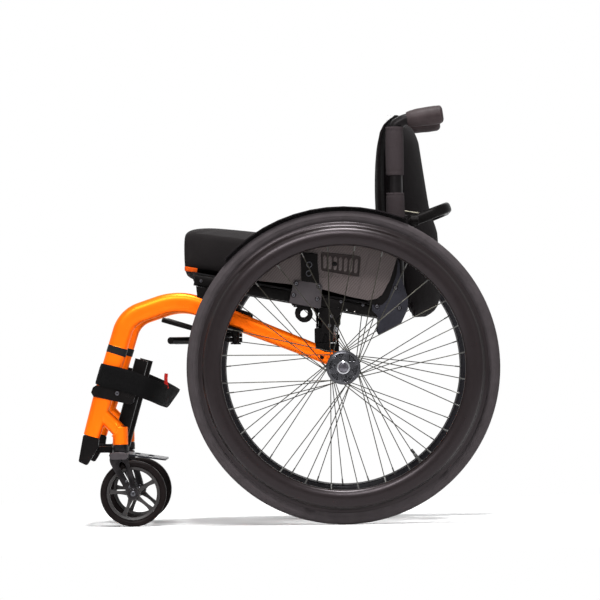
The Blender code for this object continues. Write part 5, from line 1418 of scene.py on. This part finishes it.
web = dict(
    outline=(
        (0.1470, 0.4245), (0.1630, 0.4440), (0.1835, 0.4640), (0.2020, 0.4955), (0.2100, 0.4970),
        (0.2075, 0.4700), (0.1905, 0.4230), (0.1790, 0.4120), (0.1560, 0.4130),
    ),
    y=(-0.2158, -0.2128), corner=0.0020,
)


def backWeb():
    # the dark web that fills the corner between the guard and the back plate
    found = [slabOf(softCorners(web["outline"], web["corner"]), *web["y"], 0.0005)]
    trimPair("backWeb", found, [finish["blackAnodised"]], "back_plate")


link = dict(
    y=(-0.2042, -0.1993),
    top=(
        (0.0583, 0.4095), (0.1034, 0.4041), (0.0995, 0.3965), (0.0928, 0.3880), (0.0872, 0.3700),
        (0.0858, 0.3590), (0.0628, 0.3600), (0.0648, 0.3760), (0.0640, 0.3867), (0.0605, 0.3990),
    ),
    front=((0.0622, 0.3620), (0.0700, 0.3605), (0.0672, 0.3520), (0.0655, 0.3425), (0.0592, 0.3425)),
    rear=((0.0725, 0.3605), (0.0862, 0.3620), (0.0838, 0.3425), (0.0772, 0.3425), (0.0758, 0.3520)),
    bolts=((0.0790, 0.3745), (0.0835, 0.3925)),
)


def linkPlate():
    # a forked plate bolted to the rail's side; its two legs straddle the lower pivot's saddle
    low, high = link["y"]
    found = [slabOf(softCorners(link[part], 0.0012), low, high, 0.0006) for part in ("top", "front", "rear")]
    found += screwsAt(link["bolts"], low, 0.0034, 0.0016, look=1)
    trimPair(
        "linkPlate", found, [finish["blackAnodised"], finish["darkBolt"], finish["plugRubber"]], "seat_rail",
    )


covers = dict(
    lowPivotCover=("side_frame", 0.0505, 0.0815, 0.3415, 0.3700),
    topPivotCover=("seat_rail", 0.0645, 0.1000, 0.3755, 0.4080),
)


def pivotCovers():
    # thin dark covers outboard of the cross arms' ends, one on the frame and one on the rail
    for name, (like, x0, x1, z0, z1) in covers.items():
        outline = softCorners([(x0, z0), (x1, z0), (x1, z1), (x0, z1)], 0.0030)
        trimPair(
            name, [slabOf(outline, -0.1990, -0.1970, 0.0004)], [finish["blackAnodised"]], like,
        )


guardWindow = dict(
    corners=((0.0660, 0.5122), (0.1392, 0.5036), (0.1352, 0.4662), (0.0656, 0.4790)), ribs=7, wide=0.0034,
    proud=0.0009,
)


def guardRecess():
    # a window painted to look sunken: a flat floor painted dark brown as the recess's shade, a raised rim
    # round it in the same painted shade, and upright rounded ribs
    corners = np.array(guardWindow["corners"])
    face = -0.2185
    # the floor and its rim are flat, painted dark as the shade of a recess
    found = [slabOf(softCorners(corners, 0.0040), face - 0.0004, face + 0.0004, 0.0002, look=1)]
    ring = softCorners(corners, 0.0040)
    ring = np.concatenate([ring, ring[:1]])
    line = np.stack([ring[:, 0], np.full(len(ring), face - 0.0002), ring[:, 1]], 1)
    found.append(tubeAlong(line, (0, 1, 0), 0.0008, 0.0010, 12, caps=(False, False), look=1))
    for k in range(guardWindow["ribs"]):
        share = (k + 0.65) / (guardWindow["ribs"] + 0.3)
        high = corners[0] + (corners[1] - corners[0]) * share
        low = corners[3] + (corners[2] - corners[3]) * share
        ends = [high + (low - high) * v for v in (0.13, 0.87)]
        path = finer(np.array([(x, face - 0.0002, z) for x, z in ends]), 0.003)
        taper = np.sqrt(np.clip(1 - (2 * shares(path) - 1) ** 8, 0.08, 1))
        found.append(tubeAlong(
            path, (0, 1, 0), guardWindow["proud"] * taper, guardWindow["wide"] * taper, 14, 2.4,
        ))
    found += screwsAt(((0.0905, 0.4905),), face - 0.0008, 0.0034, 0.0012, look=2)
    looks = [finish["carbonTwill"], finish["paintedRecessShade"], finish["bandBlack"], finish["plugRubber"]]
    trimPair("guardRecess", found, looks, "side_guard")


hem = dict(inset=0.0035, rear=-0.2745, lift=0.0034, wide=0.0044, thick=0.0012, bend=0.008)


def cushionHem():
    # orange tape along the front of the underside, turned back along each side
    half, front, rear = seat["half"] - hem["inset"], seat["front"] + 0.0010, hem["rear"]
    corners = [(x + axleX, y, cushionFloor(x) + hem["lift"]) for x, y in (
        (rear, -half), (front, -half), (front, half), (rear, half),
    )]
    line = finer(pathThrough(corners, (hem["bend"], hem["bend"])), 0.004)
    tape = tubeAlong(line, (0, 0, 1), hem["wide"], hem["thick"], 16, 3.0)
    piece = pieceFrom("cushionHem", [tape], [finish["orangeWeb"]], 60)
    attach(piece, "rail_left")
    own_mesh(piece)


tag = dict(x=-0.2305, y=-0.1632, low=0.2600, high=0.2885, lean=-0.0022, wide=0.0034, thick=0.0007)


def strapTag():
    # a small red pull tab sewn to the strap's upper edge, bowed by a sine along its height
    z = np.linspace(tag["low"], tag["high"], 24)
    lean = tag["lean"] * np.sin((z - tag["low"]) / 0.0285 * 2.6)
    path = np.stack([tag["x"] + lean, np.full(24, tag["y"]), z], 1)
    tab = tubeAlong(path, (1, 0, 0), tag["wide"], tag["thick"], 12, 4.0)
    piece = pieceFrom("strapTag", [tab], [finish["redWeb"]], 60)
    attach(piece, "frame_left")
    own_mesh(piece)


receiverFace()
plateScrews()
backWeb()
linkPlate()
pivotCovers()
guardRecess()
cushionHem()
strapTag()
print("small parts made")


around = dict(light=(0.96, 0.98, 1, 1), strength=0.28)
ground = dict(radii=(0.05, 0.6, 1.2, 2.2, 3.4), colour=(0.94, 0.94, 0.94, 1), rough=0.7, fade=(0.75, 1.9))


def whiteAround():
    # seen directly, in a mirror or through glass the surroundings are white; as light they are dim
    world = bpy.data.worlds.new("studio")
    bpy.context.scene.world = world
    world.use_nodes = True
    tree = world.node_tree
    tree.nodes.clear()
    rays = addNode(tree, "LightPath").outputs
    seen = sums(
        tree, "MAXIMUM", rays["Is Camera Ray"],
        sums(tree, "MAXIMUM", rays["Is Glossy Ray"], rays["Is Transmission Ray"]),
    )
    dim = addNode(tree, "Background", {"Color": around["light"], "Strength": around["strength"]})
    white = addNode(tree, "Background", {"Color": (1, 1, 1, 1), "Strength": 1.0})
    both = addNode(tree, "MixShader", {0: seen})
    tree.links.new(dim.outputs[0], both.inputs[1])
    tree.links.new(white.outputs[0], both.inputs[2])
    tree.links.new(both.outputs[0], addNode(tree, "OutputWorld").inputs[0])


def paleFloor():
    # a disc that is white seen directly away from the chair, and keeps the chair's shadow near it
    steps = 96
    t = 2 * np.pi * np.arange(steps) / steps
    radius = np.array(ground["radii"])
    points = np.stack(
        [radius[:, None] * np.cos(t), radius[:, None] * np.sin(t), np.zeros((len(radius), steps)) - 0.0002],
        -1,
    )
    material, tree, shader = blankMaterial("paleFloor")
    place = addNode(tree, "TexCoord").outputs["Object"]
    away = addNode(tree, "VectorMath", {0: place}, operation="LENGTH").outputs["Value"]
    fade = ranged(tree, away, *ground["fade"])
    seen = addNode(tree, "LightPath").outputs["Is Camera Ray"]
    glow = addNode(tree, "Emission", {"Color": (1, 1, 1, 1), "Strength": 1.0})
    both = addNode(tree, "MixShader", {0: sums(tree, "MULTIPLY", fade, seen)})
    shader.inputs["Base Color"].default_value = ground["colour"]
    shader.inputs["Roughness"].default_value = ground["rough"]
    tree.links.new(shader.outputs[0], both.inputs[1])
    tree.links.new(glow.outputs[0], both.inputs[2])
    out = [n for n in tree.nodes if n.bl_idname == "ShaderNodeOutputMaterial"][0]
    tree.links.new(both.outputs[0], out.inputs[0])
    floor = pieceFrom("floor", [patch(points, caps=(True, False))], [material])


lamps = dict(
    key=dict(place=(-0.7, -3.5, 3.0), size=2.2, tall=0.8, watts=170),
    fill=dict(place=(2.8, -3.0, 1.6), size=2.6, tall=2.6, watts=12),
    top=dict(place=(0.1, -0.7, 3.6), size=0.8, tall=0.8, watts=180),
    back=dict(place=(0.6, 3.6, 2.6), size=2.4, tall=2.4, watts=45),
)


def softLamps():
    # soft rectangles of light, each turned to the middle of the chair
    for name, lamp in lamps.items():
        data = bpy.data.lights.new(name, "AREA")
        data.shape, data.energy = "RECTANGLE", lamp["watts"]
        data.size, data.size_y = lamp["size"], lamp["tall"]
        made = bpy.data.objects.new(name, data)
        bpy.context.scene.collection.objects.link(made)
        made.location = lamp["place"]
        aim = Vector((0, 0, 0.35)) - made.location
        made.rotation_euler = aim.to_track_quat("-Z", "Y").to_euler()


view = dict(place=(0.0887, -12.262, 0.3281), roll=0.0152, focal=6383, aimAcross=-35, aimUp=50)


def photoCamera():
    # 600 by 600 photograph: focal length and the picture's centre are counted in its pixels
    roll, focal = view["roll"], view["focal"]
    right = Vector((math.cos(roll), 0, -math.sin(roll)))
    up = Vector((math.sin(roll), 0, math.cos(roll)))
    forward = (Vector((0, 1, 0)) * focal + right * view["aimAcross"] + up * view["aimUp"]).normalized()
    right = (right - forward * right.dot(forward)).normalized()
    up = right.cross(forward)
    data = bpy.data.cameras.new("photoView")
    data.sensor_fit, data.sensor_width, data.lens = "HORIZONTAL", 36, 36 * focal / 600
    data.clip_end = 60
    camera = bpy.data.objects.new("photoView", data)
    bpy.context.scene.collection.objects.link(camera)
    matrix = Matrix((right, up, -forward)).transposed().to_4x4()
    matrix.translation = view["place"]
    camera.matrix_world = matrix
    bpy.context.scene.camera = camera


whiteAround()
paleFloor()
softLamps()
photoCamera()
bpy.context.scene.view_settings.view_transform = "Standard"
